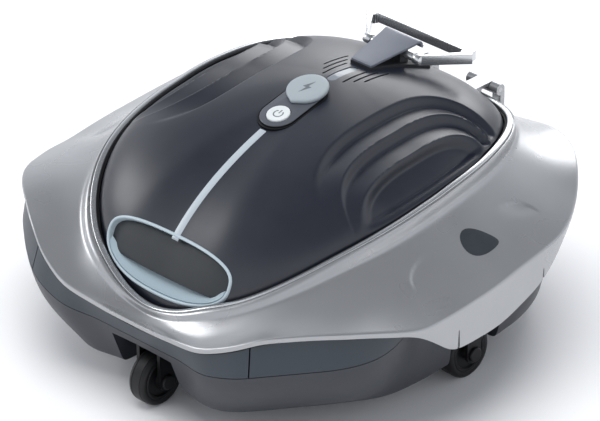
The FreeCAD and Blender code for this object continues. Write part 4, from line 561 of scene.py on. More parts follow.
domeValues = {"gap": 4.0, "edgeDrop": 5.4, "wall": 3.0, "apexY": 38.0, "apexZ": 200.5, "fullness": 1.85, "ease": 0.03,
              "topShare": 0.985, "ringCount": 640, "outerRows": 124, "innerRows": 14}
gillValues = {"centreX": 140.0, "centreY": 8.0, "depth": 8.5, "wallShare": 0.34,
              "arches": ((85.6, 92.0, 86.0), (62.6, 80.0, 73.0), (39.5, 76.0, 63.0))}


def domePoints(angles, share, lift=0.0):
    def base(turned, at):
        radius = rimRadius(turned) - domeValues["gap"]
        height = curves["rim"](turned) - domeValues["edgeDrop"]
        edge = ringPoints(turned, radius, height)
        rise = (1.0 - (1.0 - at) ** domeValues["fullness"]) ** (1.0 / domeValues["fullness"])
        rise *= 1.0 - domeValues["ease"] * math.sin(math.pi * at)
        return np.stack([edge[:, 0] * (1 - at), edge[:, 1] + (domeValues["apexY"] - edge[:, 1]) * at,
                         height + (domeValues["apexZ"] - height) * rise], -1)
    here = base(angles, share)
    along = base(angles, min(share + 0.004, 0.999)) - base(angles, max(share - 0.004, 0.0))
    around = base(angles + 0.5, share) - base(angles - 0.5, share)
    normal = np.cross(around, along)
    normal /= np.linalg.norm(normal, axis=1)[:, None]
    return here + normal * (lift[:, None] if hasattr(lift, "__len__") else lift), normal


def archLevel(x, y, arch):
    across, front, back = arch
    power = np.where(y < gillValues["centreY"], 3.0, 4.0)
    along = np.where(y < gillValues["centreY"], front, back)
    level = np.abs((x - gillValues["centreX"]) / across) ** power + np.abs((y - gillValues["centreY"]) / along) ** power
    return level ** (1.0 / power)


def gillSink(x, y, share):
    # three coves stepping down the side, each starting with a crisp edge
    x = np.abs(x)
    levels = [archLevel(x, y, arch) for arch in gillValues["arches"]]
    widths = [arch[0] for arch in gillValues["arches"]]
    sink = np.zeros_like(x)
    for place0 in range(2):
        inside = np.clip(1.0 - levels[place0], 0.0, None) * widths[place0]
        ahead = np.clip(levels[place0 + 1] - 1.0, 0.0, None) * widths[place0 + 1]
        t = inside / np.maximum(inside + ahead, 1e-6)
        cove = smoothStep(t, 0.0, gillValues["wallShare"]) * (1.0 - t) ** 0.9
        sink = np.where((levels[place0] < 1.0) & (levels[place0 + 1] >= 1.0), cove, sink)
    inside = np.clip(1.0 - levels[2], 0.0, None) * widths[2]
    sink = np.where(levels[2] < 1.0, 0.9 * smoothStep(inside, 0.0, 6.5), sink)
    fade = smoothStep(y, -78.0, -30.0) * (1.0 - smoothStep(y, 84.0, 96.0))
    return gillValues["depth"] * sink * fade * smoothStep(np.full_like(x, share), 0.006, 0.045)


def makeDome(angles):
    count = len(angles)
    outerShares = domeValues["topShare"] * (np.arange(domeValues["outerRows"]) / (domeValues["outerRows"] - 1.0)) ** 1.35
    innerShares = domeValues["topShare"] * (np.arange(domeValues["innerRows"]) / (domeValues["innerRows"] - 1.0)) ** 1.35
    rows = []
    for share in outerShares:
        flat, normal = domePoints(angles, share)
        sink = gillSink(flat[:, 0], flat[:, 1], share)
        if share < 0.004:
            flat = flat + normal * -0.4
        rows.append(flat - normal * sink[:, None])
    for share in innerShares[::-1]:
        flat, normal = domePoints(angles, share)
        sink = gillSink(flat[:, 0], flat[:, 1], share)
        rows.append(flat - normal * (sink[:, None] + domeValues["wall"]))
    points = np.concatenate(rows)
    outer = domeValues["outerRows"]
    total = outer + domeValues["innerRows"]
    faces = [face for face in gridFaces(total, count, closeRows=True, closeColumns=True)
             if not face[0] // count == outer - 1]
    faces.append(tuple((outer - 1) * count + i for i in range(count)))
    faces.append(tuple(outer * count + i for i in reversed(range(count))))
    return faceOut(makeMesh("domeCover", points, faces, "dome", 50.0))


def cleanDomeTree():
    angles = np.arange(0.0, 360.0, 1.5)
    shares = np.linspace(0.0, 0.995, 90) ** 1.2
    points = np.concatenate([domePoints(angles, share)[0] for share in shares])
    return BVHTree.FromPolygons([tuple(p) for p in points], gridFaces(len(shares), len(angles), closeColumns=True))


domeTree = cleanDomeTree()


def domeZ(x, y):
    hit = domeTree.ray_cast(Vector((x, y, 400.0)), Vector((0.0, 0.0, -1.0)))
    return hit[0].z


# grip placement on the sloping front: u across, v up the slope
gripValues = {"y": -147.0, "z": 117.2, "tilt": 32.0, "halfWidth": 64.0, "top": 20.0, "bottom": 28.0,
              "topPower": 3.0, "bottomPower": 2.2, "border": 2.6, "panelDepth": 4.6,
              "panelEdge": -13.4, "scoopDepth": 10.5}
gripTurn = math.radians(90.0 - gripValues["tilt"])
gripUp = Vector((0.0, math.cos(gripTurn), math.sin(gripTurn)))
gripOut = Vector((0.0, -math.sin(gripTurn), math.cos(gripTurn)))
gripCentre = Vector((0.0, gripValues["y"], gripValues["z"]))


def gripPoint(u, v, lift):
    base = gripCentre + Vector((u, 0.0, 0.0)) + gripUp * v
    hit = domeTree.ray_cast(base + gripOut * 60.0, -gripOut)
    return hit[0] + gripOut * lift


def gripOval(shrink, count):
    outline = []
    for place0 in range(count):
        turn = 2 * math.pi * place0 / count
        c, s = math.cos(turn), math.sin(turn)
        power = gripValues["topPower"] if s > 0 else gripValues["bottomPower"]
        reach = (gripValues["top"] if s > 0 else gripValues["bottom"]) - shrink
        half = gripValues["halfWidth"] - shrink
        outline.append((half * math.copysign(abs(c) ** (2 / power), c), reach * math.copysign(abs(s) ** (2 / power), s)))
    return evenLoop(outline, count)


def evenLoop(outline, count):
    # the same closed outline with its points evenly spaced
    ends = np.array(outline + outline[:1])
    lengths = np.concatenate([[0.0], np.cumsum(np.hypot(*np.diff(ends, axis=0).T))])
    at = np.arange(count) / count * lengths[-1]
    return list(zip(np.interp(at, lengths, ends[:, 0]), np.interp(at, lengths, ends[:, 1])))


def stadiumLoop(length, width, x, y, count=48):
    half, radius = (length - width) / 2.0, width / 2.0
    outline = []
    for place0 in range(count):
        turn = 2 * math.pi * (place0 + 0.5) / count
        outline.append((x + radius * math.cos(turn), y + math.copysign(half, math.sin(turn)) + radius * math.sin(turn)))
    return outline


controlValues = {"plateY": -12.0, "plateLength": 62.0, "plateWidth": 34.0, "plateRise": 2.2, "buttonY": -27.0,
                 "buttonRadius": 9.2, "capY": 4.5, "capWidth": 35.0, "capLength": 35.0, "capWall": 3.4, "capGap": 0.3,
                 "capRound": 16.4, "capCentre": 1.1}
plateSlope = math.atan2(domeZ(0.0, controlValues["plateY"] + 2.0) - domeZ(0.0, controlValues["plateY"] - 2.0), 4.0)
plateOrigin = Vector((0.0, controlValues["plateY"], domeZ(0.0, controlValues["plateY"])))


def onPlate(point):
    x, y, z = point
    return (x, plateOrigin.y + y * math.cos(plateSlope) - z * math.sin(plateSlope),
            plateOrigin.z + y * math.sin(plateSlope) + z * math.cos(plateSlope))


def platePart(points, faces):
    return [onPlate(p) for p in points], faces


stripValues = {"width": 6.4, "frontY": -140.6, "backY": -44.0, "depth": 1.2, "steps": 60}
ventValues = {"width": 1.6, "length": 27.0, "pitch": 5.3, "firstX": 10.4, "firstY": 31.0, "stepY": 6.3, "rows": 3,
              "windowWidth": 8.0, "windowLength": 30.0, "windowY": 42.0}


def stripBlock(half, y0, y1, low, high, steps):
    # bar along the centre line whose floor and top follow the cover
    points = []
    for step in range(steps + 1):
        y = y0 + (y1 - y0) * step / steps
        z = domeZ(0.0, y)
        for x, lift in ((-half, low), (half, low), (half, high), (-half, high)):
            points.append((x, y, z + lift))
    faces = gridFaces(steps + 1, 4, closeColumns=True)
    faces += [(0, 1, 2, 3), tuple(steps * 4 + i for i in (3, 2, 1, 0))]
    return points, faces


def domeCutter():
    outline = gripOval(-0.05, 96)
    low = [gripCentre + Vector((u, 0, 0)) + gripUp * v - gripOut * 60.0 for u, v in outline]
    high = [p + gripOut * 85.0 for p in low]
    count = len(outline)
    grip = (low + high, [tuple(reversed(range(count))), tuple(range(count, 2 * count))]
            + [(i, (i + 1) % count, count + (i + 1) % count, count + i) for i in range(count)])
    plate = platePart(*prism(stadiumLoop(controlValues["plateLength"] + 0.6, controlValues["plateWidth"] + 0.6, 0, 0),
                             -18.0, 18.0))
    parts = [grip, plate]
    for side in (-1, 1):
        for place0 in range(ventValues["rows"]):
            x = side * (ventValues["firstX"] + ventValues["pitch"] * place0)
            y = ventValues["firstY"] + ventValues["stepY"] * place0 + ventValues["length"] / 2.0
            parts.append(prism(stadiumLoop(ventValues["length"], ventValues["width"], x, y, 16), 180.0, 220.0))
    parts.append(prism(stadiumLoop(ventValues["windowLength"], ventValues["windowWidth"], 0.0, ventValues["windowY"]),
                       180.0, 220.0))
    return faceOut(makeMesh("domeCutter", *merged(*parts), "dome"))


def stripCutter():
    half = stripValues["width"] / 2.0 + 0.05
    bar = stripBlock(half, stripValues["frontY"] + 4.0, stripValues["backY"] + 1.0, -stripValues["depth"], 9.0,
                     stripValues["steps"])
    return faceOut(makeMesh("stripCutter", *bar, "dome"))


domeAngles = ringAngles(domeValues["ringCount"], 44.0, 138.0, 2.2)
domePiece = makeDome(domeAngles)
cutWith(domePiece, domeCutter())
cutWith(domePiece, stripCutter())
place(domePiece, "cover", "dome_plastic", "dome_cover")
print("dome:", len(domePiece.data.polygons), "faces")


# ---- grip: pale frame, dark panel, finger scoop ----

def makeGripFrame():
    count = 160
    section = ((0.0, -8.0), (0.0, -0.2), (0.15, 0.45), (0.5, 0.9), (1.2, 1.1), (1.9, 0.9), (2.35, 0.3), (2.5, -0.4),
               (2.7, -3.0), (3.4, -7.0), (4.6, -11.5), (3.0, -11.8), (1.4, -9.0))
    rows = []
    for shrink, lift in section:
        rows += [gripPoint(u, v, lift) for u, v in gripOval(shrink, count)]
    return faceOut(makeMesh("gripFrame", rows, gridFaces(len(section), count, closeRows=True, closeColumns=True), "pale", 60.0))


def ovalBounds(u, shrink):
    half = gripValues["halfWidth"] - shrink
    ratio = min(abs(u) / half, 0.9999)
    top = (gripValues["top"] - shrink) * (1 - ratio ** gripValues["topPower"]) ** (1 / gripValues["topPower"])
    bottom = -(gripValues["bottom"] - shrink) * (1 - ratio ** gripValues["bottomPower"]) ** (1 / gripValues["bottomPower"])
    return bottom, top


def panelEdge(u):
    # lower edge of the panel: a slight sag in the middle, turned up at both ends
    ratio = abs(u) / gripValues["halfWidth"]
    return gripValues["panelEdge"] + 2.0 * ratio ** 2 + 8.0 * smoothStep(ratio, 0.72, 1.0)


def sheetPiece(name, columns, rows, pointAt, finish, thickness):
    points = [pointAt(column / (columns - 1), row / (rows - 1)) for row in range(rows) for column in range(columns)]
    piece = makeMesh(name, points, gridFaces(rows, columns), finish, 60.0)
    solid = piece.modifiers.new("wall", "SOLIDIFY")
    solid.thickness = thickness * mm
    solid.offset = -1.0
    return applyModifiers(piece, 60.0)


def makeGripPanel():
    def pointAt(a, b):
        half = gripValues["halfWidth"] - gripValues["border"] - 0.5
        u = half * math.sin((a - 0.5) * math.pi) * 0.999
        bottom, top = ovalBounds(u, gripValues["border"] + 0.3)
        low = max(panelEdge(u), bottom)
        edge = min(b, 1 - b) * max(top - low, 0.5)
        drop = 0.7 * max(0.0, 1 - edge / 0.9) ** 2
        return gripPoint(u, low + (top - low) * b, -gripValues["panelDepth"] - drop)
    return sheetPiece("gripPanel", 90, 26, pointAt, "panel", 2.0)


def makeScoop():
    def pointAt(a, b):
        half = gripValues["halfWidth"] - gripValues["border"] - 1.4
        u = half * math.sin((a - 0.5) * math.pi) * 0.985
        bottom, top = ovalBounds(u, gripValues["border"] + 0.9)
        high = min(panelEdge(u) + 2.6, top - 0.5)
        high = max(high, bottom + 0.6)
        v = bottom + (high - bottom) * b
        inward = max(v - bottom, 0.0) + 0.0
        ends = min(1.0, (half - abs(u)) / 14.0)
        depth = gripValues["scoopDepth"] * (1 - (1 - min(inward / 15.0, 1.0)) ** 1.8) * (0.35 + 0.65 * ends)
        return gripPoint(u, v, -0.6 - depth)
    return sheetPiece("fingerScoop", 90, 22, pointAt, "scoop", 1.6)


place(makeGripFrame(), "cover", "pale_plastic", "grip_frame")
place(makeGripPanel(), "cover", "panel_plastic", "grip_panel")
place(makeScoop(), "release_paddle", "paddle_plastic", "release_paddle")
print("grip ready")


# ---- light strip; the vent window stays the imported part ----

def makeStrip():
    half = stripValues["width"] / 2.0
    points, steps = [], stripValues["steps"]
    section = ((-half, -1.1), (half, -1.1), (half, 0.1), (half - 0.5, 0.42), (0.0, 0.5), (-half + 0.5, 0.42), (-half, 0.1))
    for step in range(steps + 1):
        y = stripValues["frontY"] + 4.4 + (stripValues["backY"] + 0.6 - stripValues["frontY"] - 4.4) * step / steps
        z = domeZ(0.0, y)
        points += [(x, y, z + lift) for x, lift in section]
    count = len(section)
    faces = gridFaces(steps + 1, count, closeColumns=True)
    faces += [tuple(range(count)), tuple(steps * count + i for i in reversed(range(count)))]
    return faceOut(makeMesh("lightStrip", points, faces, "light"))


place(makeStrip(), "cover", "light_bar", "light_strip")


# ---- control plate, button and charging cap ----

def loopSolid(loops):
    # stacked closed loops of the same length, capped at both ends
    count = len(loops[0])
    points = [p for loop in loops for p in loop]
    faces = gridFaces(len(loops), count, closeColumns=True)
    faces += [tuple(reversed(range(count))), tuple((len(loops) - 1) * count + i for i in range(count))]
    return points, faces


def makePlate():
    section = ((0.0, -5.0), (0.0, 0.5), (0.25, 0.8), (1.1, 0.85), (1.2, 0.2), (1.75, 0.2), (1.85, 1.7), (2.15, 2.05),
               (2.6, 2.2))
    loops = []
    for shrink, height in section:
        outline = stadiumLoop(controlValues["plateLength"] - 2 * shrink, controlValues["plateWidth"] - 2 * shrink, 0, 0, 96)
        loops.append([onPlate((x, y, height)) for x, y in outline])
    plate = makeMesh("controlPlate", *loopSolid(loops), "plate")
    plate.data.materials.append(finishes["black"])
    # painted shade: the outer flange, the groove and the step wall take the black finish so the gap round the plate
    # reads dark
    for polygon in plate.data.polygons:
        polygon.material_index = 1 if polygon.index < 96 * 6 else 0
    faceOut(plate)
    holes = []
    for y, radius, low in ((controlValues["buttonY"], controlValues["buttonRadius"] + 0.45, -8.0), (4.0, 6.05, -8.0)):
        profile = [(radius, low), (radius, 8.0)]
        points, faces = lathe(profile, (0, y - controlValues["plateY"], 0), (0, 0, 1), 64)
        holes.append(platePart(points, faces))
    cutWith(plate, faceOut(makeMesh("plateHoles", *merged(*holes), "plate")))
    return plate


place(makePlate(), "cover", "plate_plastic", "control_plate")


def powerMark(height):
    # generic power sign: an open ring and a short bar
    centreY = controlValues["buttonY"] - controlValues["plateY"]
    steps, inner, outer = 40, 3.2, 4.2
    points = []
    for step in range(steps + 1):
        turn = math.radians(90 + 38 + 284 * step / steps)
        for radius, lift in ((inner, -0.4), (outer, -0.4), (outer, 0.05), (inner, 0.05)):
            points.append((radius * math.cos(turn), centreY + radius * math.sin(turn), height + lift))
    faces = gridFaces(steps + 1, 4, closeColumns=True) + [(0, 1, 2, 3), tuple(steps * 4 + i for i in (3, 2, 1, 0))]
    bar = boxPart(-0.5, 0.5, centreY + 0.4, centreY + 5.0, height - 0.4, height + 0.05)
    return merged((points, faces), bar)


def makeButton():
    r, high = controlValues["buttonRadius"], 3.2
    profile = [(0.4, -2.6), (r + 1.4, -2.6), (r + 1.4, -1.5), (r, -1.4), (r, high - 0.8), (r - 0.25, high - 0.25),
               (r - 0.8, high), (r - 1.8, high - 0.1), (r - 3.4, high - 0.45), (r - 6.0, high - 0.55), (0.05, high - 0.55)]
    button = lathe(profile, (0, controlValues["buttonY"] - controlValues["plateY"], 0), (0, 0, 1), 72)
    return faceOut(makeMesh("powerButton", *platePart(*button), "button"))


place(makeButton(), "power_button", "button_plastic", "power_button")
place(faceOut(makeMesh("powerMark", *platePart(*powerMark(2.65)), "mark")), "power_button", "button_plastic")


def capLoop(shrink, count=96):
    # round plate with one blunt point towards the button
    radius, centre, point = controlValues["capRound"] - shrink, controlValues["capCentre"], 1.6
    tip = controlValues["capLength"] / 2.0 - shrink * 1.15 - point * 0.155
    reach = tip + centre
    side = math.asin(min((radius - point) / (reach - point), 0.999))
    outline = []
    for step in range(61):
        turn = -side + (math.pi + 2 * side) * step / 60
        outline.append((radius * math.cos(turn), centre + radius * math.sin(turn)))
    for step in range(9):
        turn = math.pi + side + (math.pi - 2 * side) * step / 8
        outline.append((point * math.cos(turn), point - tip + point * math.sin(turn)))
    return evenLoop(outline, count)


def makeCap():
    low = controlValues["plateRise"] + controlValues["capGap"]
    wall = controlValues["capWall"]
    centre = controlValues["capY"] - controlValues["plateY"]
    section = ((0.7, 0.0), (0.2, 0.25), (0.0, 0.9), (0.0, wall - 1.5), (0.3, wall - 0.7), (1.0, wall - 0.2),
               (2.2, wall), (4.5, wall + 0.12), (8.0, wall + 0.2), (12.0, wall + 0.24))
    loops = [[onPlate((x, centre + y, low + height)) for x, y in capLoop(shrink)] for shrink, height in section]
    plug = platePart(*lathe([(3.2, -2.2), (3.2, 0.4)], (0, 4.0 - controlValues["plateY"], low), (0, 0, 1), 32))
    pin = rodBetween(0.9, onPlate((-8.0, 31.0 + 1.4 - 1.6 + 0.9 - 0.8, low + wall / 2)),
                     onPlate((8.0, 31.0 + 1.4 - 1.6 + 0.9 - 0.8, low + wall / 2)), 16, 0.2)
    return faceOut(makeMesh("chargeCap", *merged(loopSolid(loops), plug, pin), "cap"))


def boltMark():
    # generic charging sign: a small lightning bolt
    top = controlValues["plateRise"] + controlValues["capGap"] + controlValues["capWall"] + 0.18
    centre = controlValues["capY"] - controlValues["plateY"] + 1.0
    outline = [(1.6, 8.0), (-3.6, -0.8), (-0.4, -0.8), (-1.6, -8.0), (3.6, 1.0), (0.5, 1.0)]
    return prism([(x, centre + y) for x, y in outline], top - 0.6, top + 0.12)


place(makeCap(), "charge_cap", "cap_rubber", "charge_cap")
place(faceOut(makeMesh("boltMark", *platePart(*boltMark()), "mark")), "charge_cap", "cap_rubber")
print("controls ready")


# ---- lifting ring and clip ----

ringValues = {"axisY": 98.0, "axisZ": 199.5, "bar": 6.0, "height": 8.0, "near": 21.8, "boss": 7.2, "far": 62.0,
              "reach": 36.0, "corner": 4.5}


def roundCorners(corners, radii, steps=8):
    outline = []
    count = len(corners)
    for place0, (corner, radius) in enumerate(zip(corners, radii)):
        if radius == 0:
            outline.append(tuple(corner))
            continue
        here = Vector((*corner, 0.0))
        before = (Vector((*corners[place0 - 1], 0.0)) - here).normalized()
        after = (Vector((*corners[(place0 + 1) % count], 0.0)) - here).normalized()
        half = before.angle(after) / 2.0
        centre = here + (before + after).normalized() * radius / math.sin(half)
        start, end = here + before * radius / math.tan(half), here + after * radius / math.tan(half)
        for step in range(steps + 1):
            arm = (start - centre).slerp(end - centre, step / steps) if step not in (0, steps) else (start, end)[step > 0] - centre
            outline.append(tuple((centre + arm)[:2]))
    return outline


def makeLiftRing():
    v = ringValues
    y0, y1 = v["axisY"], v["axisY"] + v["reach"]
    near, far, low = v["near"] + v["boss"], v["far"], v["axisZ"] - v["height"] / 2.0
    innerFar, innerY = far - v["bar"] * 2.2, y1 - v["bar"]
    innerNear = v["near"] - 2.0 + (innerFar - v["near"] + 2.0) * 8.0 / (8.0 + v["reach"] - v["bar"])
    innerNear = max(innerNear, v["near"])
    corners = [(near, y0), (far, y1), (-far, y1), (-near, y0), (-innerNear, y0), (-innerFar, innerY), (innerFar, innerY),
               (innerNear, y0)]
    radii = [0, v["corner"], v["corner"], 0, 0, v["corner"] * 0.6, v["corner"] * 0.6, 0]
    outline = roundCorners(corners, radii)
    ring = faceOut(makeMesh("liftRing", *prism(outline, low, low + v["height"]), "bright"))
    bevelPiece(ring, 1.3, 3, 50.0)
    parts = [rodBetween(3.0, (-near + 1, y0, v["axisZ"]), (near - 1, y0, v["axisZ"]))]
    for side in (-1, 1):
        parts.append(rodBetween(v["height"] / 2.0, (side * v["near"], y0, v["axisZ"]), (side * near, y0, v["axisZ"]), 40, 0.8))
    ends = faceOut(makeMesh("liftRingEnds", *merged(*parts), "bright"))
    bm = bmesh.new()
    bm.from_mesh(ring.data)
    bm.from_mesh(ends.data)
    bm.to_mesh(ring.data)
    bm.free()
    bpy.data.objects.remove(ends)
    return ring


def makeClip():
    front, back, ridgeY, ridgeZ = 62.0, 113.0, 108.0, 208.5
    footZ = domeZ(0.0, front) + 2.4
    path = [(front, footZ + 0.55), (front + 3.0, footZ + 0.75)]
    path += [(ridgeY - 5.0, ridgeZ - 2.2)]
    for step in range(9):
        turn = math.radians(98 - 106 * step / 8)
        path.append((ridgeY - 0.4 + 3.0 * math.cos(turn), ridgeZ - 4.2 + 3.0 * math.sin(turn)))
    path += [(back - 1.3, 202.6)]
    points = []
    for place0, (y, z) in enumerate(path):
        before, after = path[max(place0 - 1, 0)], path[min(place0 + 1, len(path) - 1)]
        dy, dz = after[0] - before[0], after[1] - before[1]
        length = math.hypot(dy, dz)
        ny, nz = -dz / length, dy / length
        half = 10.0 + (18.3 - 10.0) * (y - front) / (back - front)
        for x, t in ((-half, 1.1), (half, 1.1), (half, -1.1), (-half, -1.1)):
            points.append((x, y + ny * t, z + nz * t))
    faces = gridFaces(len(path), 4, closeColumns=True) + [(0, 1, 2, 3), tuple((len(path) - 1) * 4 + i for i in (3, 2, 1, 0))]
    clip = faceOut(makeMesh("liftClip", points, faces, "clip"))
    return bevelPiece(clip, 0.45, 2, 60.0)


place(makeLiftRing(), "lift_ring", "bright_trim", "lift_ring")
place(makeClip(), "cover", "clip_metal", "lift_clip")
print("ring and clip ready")


# ---- wheels ----

wheelValues = {"radius": 21.5, "width": 16.0, "rim": 16.5, "hubWidth": 17.0}


def tyreProfile():
    half, r = wheelValues["width"] / 2.0, wheelValues["radius"]
    profile = [(wheelValues["rim"], -half + 0.6), (r - 3.2, -half), (r - 1.6, -half + 0.35), (r - 0.5, -half + 1.4)]
    for groove in (-4.2, 4.2):
        profile += [(r - 0.05, groove - 0.55), (r - 0.45, groove - 0.3), (r - 0.45, groove + 0.3), (r - 0.05, groove + 0.55)]
    profile += [(r - 0.5, half - 1.4), (r - 1.6, half - 0.35), (r - 3.2, half), (wheelValues["rim"], half - 0.6)]
    return profile


def hubProfile():
    half, rim = wheelValues["hubWidth"] / 2.0, wheelValues["rim"]
    side = [(3.2, half), (5.8, half), (6.2, half - 0.5), (6.5, half - 2.6), (13.2, half - 2.8), (14.0, half - 1.0),
            (15.6, half - 0.7), (rim - 0.05, half - 1.2)]
    return [(r, -z) for r, z in side] + [(r, z) for r, z in reversed(side)]


def ringLathe(profile, origin, axis, steps):
    # closed ring: the profile's ends join, so there is a hole along the axis
    points, faces = lathe(profile, origin, axis, steps)
    faces = gridFaces(len(profile), steps, closeRows=True, closeColumns=True)
    return points, faces


wheelPlaces = {"caster_wheel": (0.0, -158.0), "right_wheel": (137.0, 29.0), "left_wheel": (-137.0, 29.0)}
for body, (x, y) in wheelPlaces.items():
    centre = (x, y, wheelValues["radius"])
    tyre = faceOut(makeMesh(body + "Tyre", *ringLathe(tyreProfile(), centre, (1, 0, 0), 96), "tyre", 50.0))
    hub = faceOut(makeMesh(body + "Hub", *ringLathe(hubProfile(), centre, (1, 0, 0), 72), "black"))
    place(tyre, body, "tyre_rubber", body + "_tyre")
    place(hub, body, "wheel_black", body + "_hub")
print("wheels ready")


# ---- bristles and screws ----

def makeRepeatTree():
    # copies of a shape on the points of a mesh, each leaning a little, made into one mesh
    tree = bpy.data.node_groups.new("repeatOnPoints", "GeometryNodeTree")
    for socketName, socketType, value in (("Points", "NodeSocketGeometry", None), ("Shape", "NodeSocketObject", None),
                                          ("Lean", "NodeSocketFloat", 0.0), ("Size low", "NodeSocketFloat", 1.0),
                                          ("Size high", "NodeSocketFloat", 1.0), ("Finish", "NodeSocketMaterial", None)):
        socket = tree.interface.new_socket(socketName, in_out="INPUT", socket_type=socketType)
        if value is not None:
            socket.default_value = value
    tree.interface.new_socket("Result", in_out="OUTPUT", socket_type="NodeSocketGeometry")
    start, end = tree.nodes.new("NodeGroupInput"), tree.nodes.new("NodeGroupOutput")
    shape = tree.nodes.new("GeometryNodeObjectInfo")
    copies = tree.nodes.new("GeometryNodeInstanceOnPoints")
    lean, size = (tree.nodes.new("FunctionNodeRandomValue") for place0 in range(2))
    lean.data_type = "FLOAT_VECTOR"
    lean.inputs["Seed"].default_value = 7
    size.inputs["Seed"].default_value = 11
    minus = tree.nodes.new("ShaderNodeMath")
    minus.operation = "MULTIPLY"
    minus.inputs[1].default_value = -1.0
    lows, highs = (tree.nodes.new("ShaderNodeCombineXYZ") for place0 in range(2))
    real = tree.nodes.new("GeometryNodeRealizeInstances")
    paint = tree.nodes.new("GeometryNodeSetMaterial")
    wire(tree, start.outputs["Lean"], minus.inputs[0])
    for axis in ("X", "Y"):
        wire(tree, minus.outputs["Value"], lows.inputs[axis])
        wire(tree, start.outputs["Lean"], highs.inputs[axis])
    wire(tree, lows.outputs["Vector"], lean.inputs["Min"])
    wire(tree, highs.outputs["Vector"], lean.inputs["Max"])
    wire(tree, start.outputs["Size low"], size.inputs[2])
    wire(tree, start.outputs["Size high"], size.inputs[3])
    wire(tree, start.outputs["Shape"], shape.inputs["Object"])
    wire(tree, start.outputs["Points"], copies.inputs["Points"])
    wire(tree, shape.outputs["Geometry"], copies.inputs["Instance"])
    wire(tree, lean.outputs["Value"], copies.inputs["Rotation"])
    wire(tree, size.outputs[1], copies.inputs["Scale"])
    wire(tree, copies.outputs["Instances"], real.inputs["Geometry"])
    wire(tree, real.outputs["Geometry"], paint.inputs["Geometry"])
    wire(tree, start.outputs["Finish"], paint.inputs["Material"])
    wire(tree, paint.outputs["Geometry"], end.inputs["Result"])
    return tree


repeatTree = makeRepeatTree()


def repeatShape(name, places, points, faces, finish, lean=0.0, sizes=(1.0, 1.0)):
    shape = faceOut(makeMesh(name + "Shape", points, faces, finish))
    holder = makeMesh(name, places, [], finish)
    modifier = holder.modifiers.new("copies", "NODES")
    modifier.node_group = repeatTree
    values = {"Shape": shape, "Lean": lean, "Size low": sizes[0], "Size high": sizes[1], "Finish": finishes[finish]}
    for item in repeatTree.interface.items_tree:
        if item.in_out == "INPUT" and item.name in values:
            modifier[item.identifier] = values[item.name]
    applyModifiers(holder)
    bpy.data.objects.remove(shape)
    return holder


brushValues = {"pitch": 1.15, "rows": (-0.95, 0.0, 0.95), "thickness": 0.34, "lean": 0.035}


def makeBrushes():
    low, high = (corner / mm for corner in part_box("brush_strips"))
    length = high.z - low.z - 3.0
    places, bars = [], []
    for y in (low.y + 1.5, high.y - 1.5):
        bars.append(boxPart(low.x, high.x, y - 1.5, y + 1.5, high.z - 3.2, high.z))
        for row, shift in enumerate(brushValues["rows"]):
            x = low.x + 1.2 + 0.5 * brushValues["pitch"] * (row % 2)
            while x < high.x - 1.0:
                places.append((x, y + shift, high.z - 3.0))
                x += brushValues["pitch"]
    width = brushValues["thickness"]
    tuft = lathe([(width, 0.0), (width, length * 0.6), (width * 0.5, length * 0.985)], (0, 0, 0), (0, 0, -1), 5)
    tufts = repeatShape("brushTufts", places, *tuft, "bristle", brushValues["lean"], (0.93, 0.99))
    holders = faceOut(makeMesh("brushHolders", *merged(*bars), "dark"))
    return tufts, bevelPiece(holders, 0.4, 2)


screwValues = {"head": 3.6, "slot": 1.0, "depth": 1.2}


def makeScrews():
    # screw heads under the hull, with a cross slot in each
    cad = cadNodes["hull_screws"].data
    corners = np.array([vertex.co for vertex in cad.vertices]) / mm
    bottom = corners[corners[:, 2] < corners[:, 2].min() + 0.05]
    places = []
    for point in bottom:
        if all(math.hypot(point[0] - x, point[1] - y) > 12.0 for x, y, z in places):
            near = bottom[np.hypot(*(bottom[:, :2] - point[:2]).T) < 12.0]
            places.append((*((near[:, :2].max(0) + near[:, :2].min(0)) / 2.0), float(corners[:, 2].min())))
    radius = float(np.ptp(bottom[np.hypot(*(bottom[:, :2] - places[0][:2]).T) < 12.0][:, 0]) / 2.0)
    depth, slot = screwValues["depth"], screwValues["slot"] / 2.0
    profile = [(1.6, 12.0), (1.6, 2.4), (radius, 1.6), (radius, 0.5), (radius - 0.5, 0.06), (0.05, 0.05)]
    head = faceOut(makeMesh("screwHead", *lathe(profile, (0, 0, 0), (0, 0, 1), 32), "steel"))
    reach = radius * 0.62
    cross = merged(boxPart(-reach, reach, -slot, slot, -1.0, depth))
    cutWith(head, faceOut(makeMesh("slotOne", *cross, "steel")))
    cutWith(head, faceOut(makeMesh("slotTwo", *boxPart(-slot, slot, -reach, reach, -1.0, depth), "steel")))
    points = [tuple(vertex.co / mm) for vertex in head.data.vertices]
    faces = [tuple(polygon.vertices) for polygon in head.data.polygons]
    bpy.data.objects.remove(head)
    return repeatShape("hullScrews", places, points, faces, "steel")


tufts, holders = makeBrushes()
place(tufts, "base", "brush_bristle", "brush_strips")
place(holders, "base", "brush_bristle")
place(makeScrews(), "base", "steel", "hull_screws")
print("bristles and screws ready")


# ---- badge on each wing ----

badgeValues = {"x": 166.7, "y": 13.0, "length": 30.0, "width": 19.0, "turn": -24.0, "rise": 0.22}


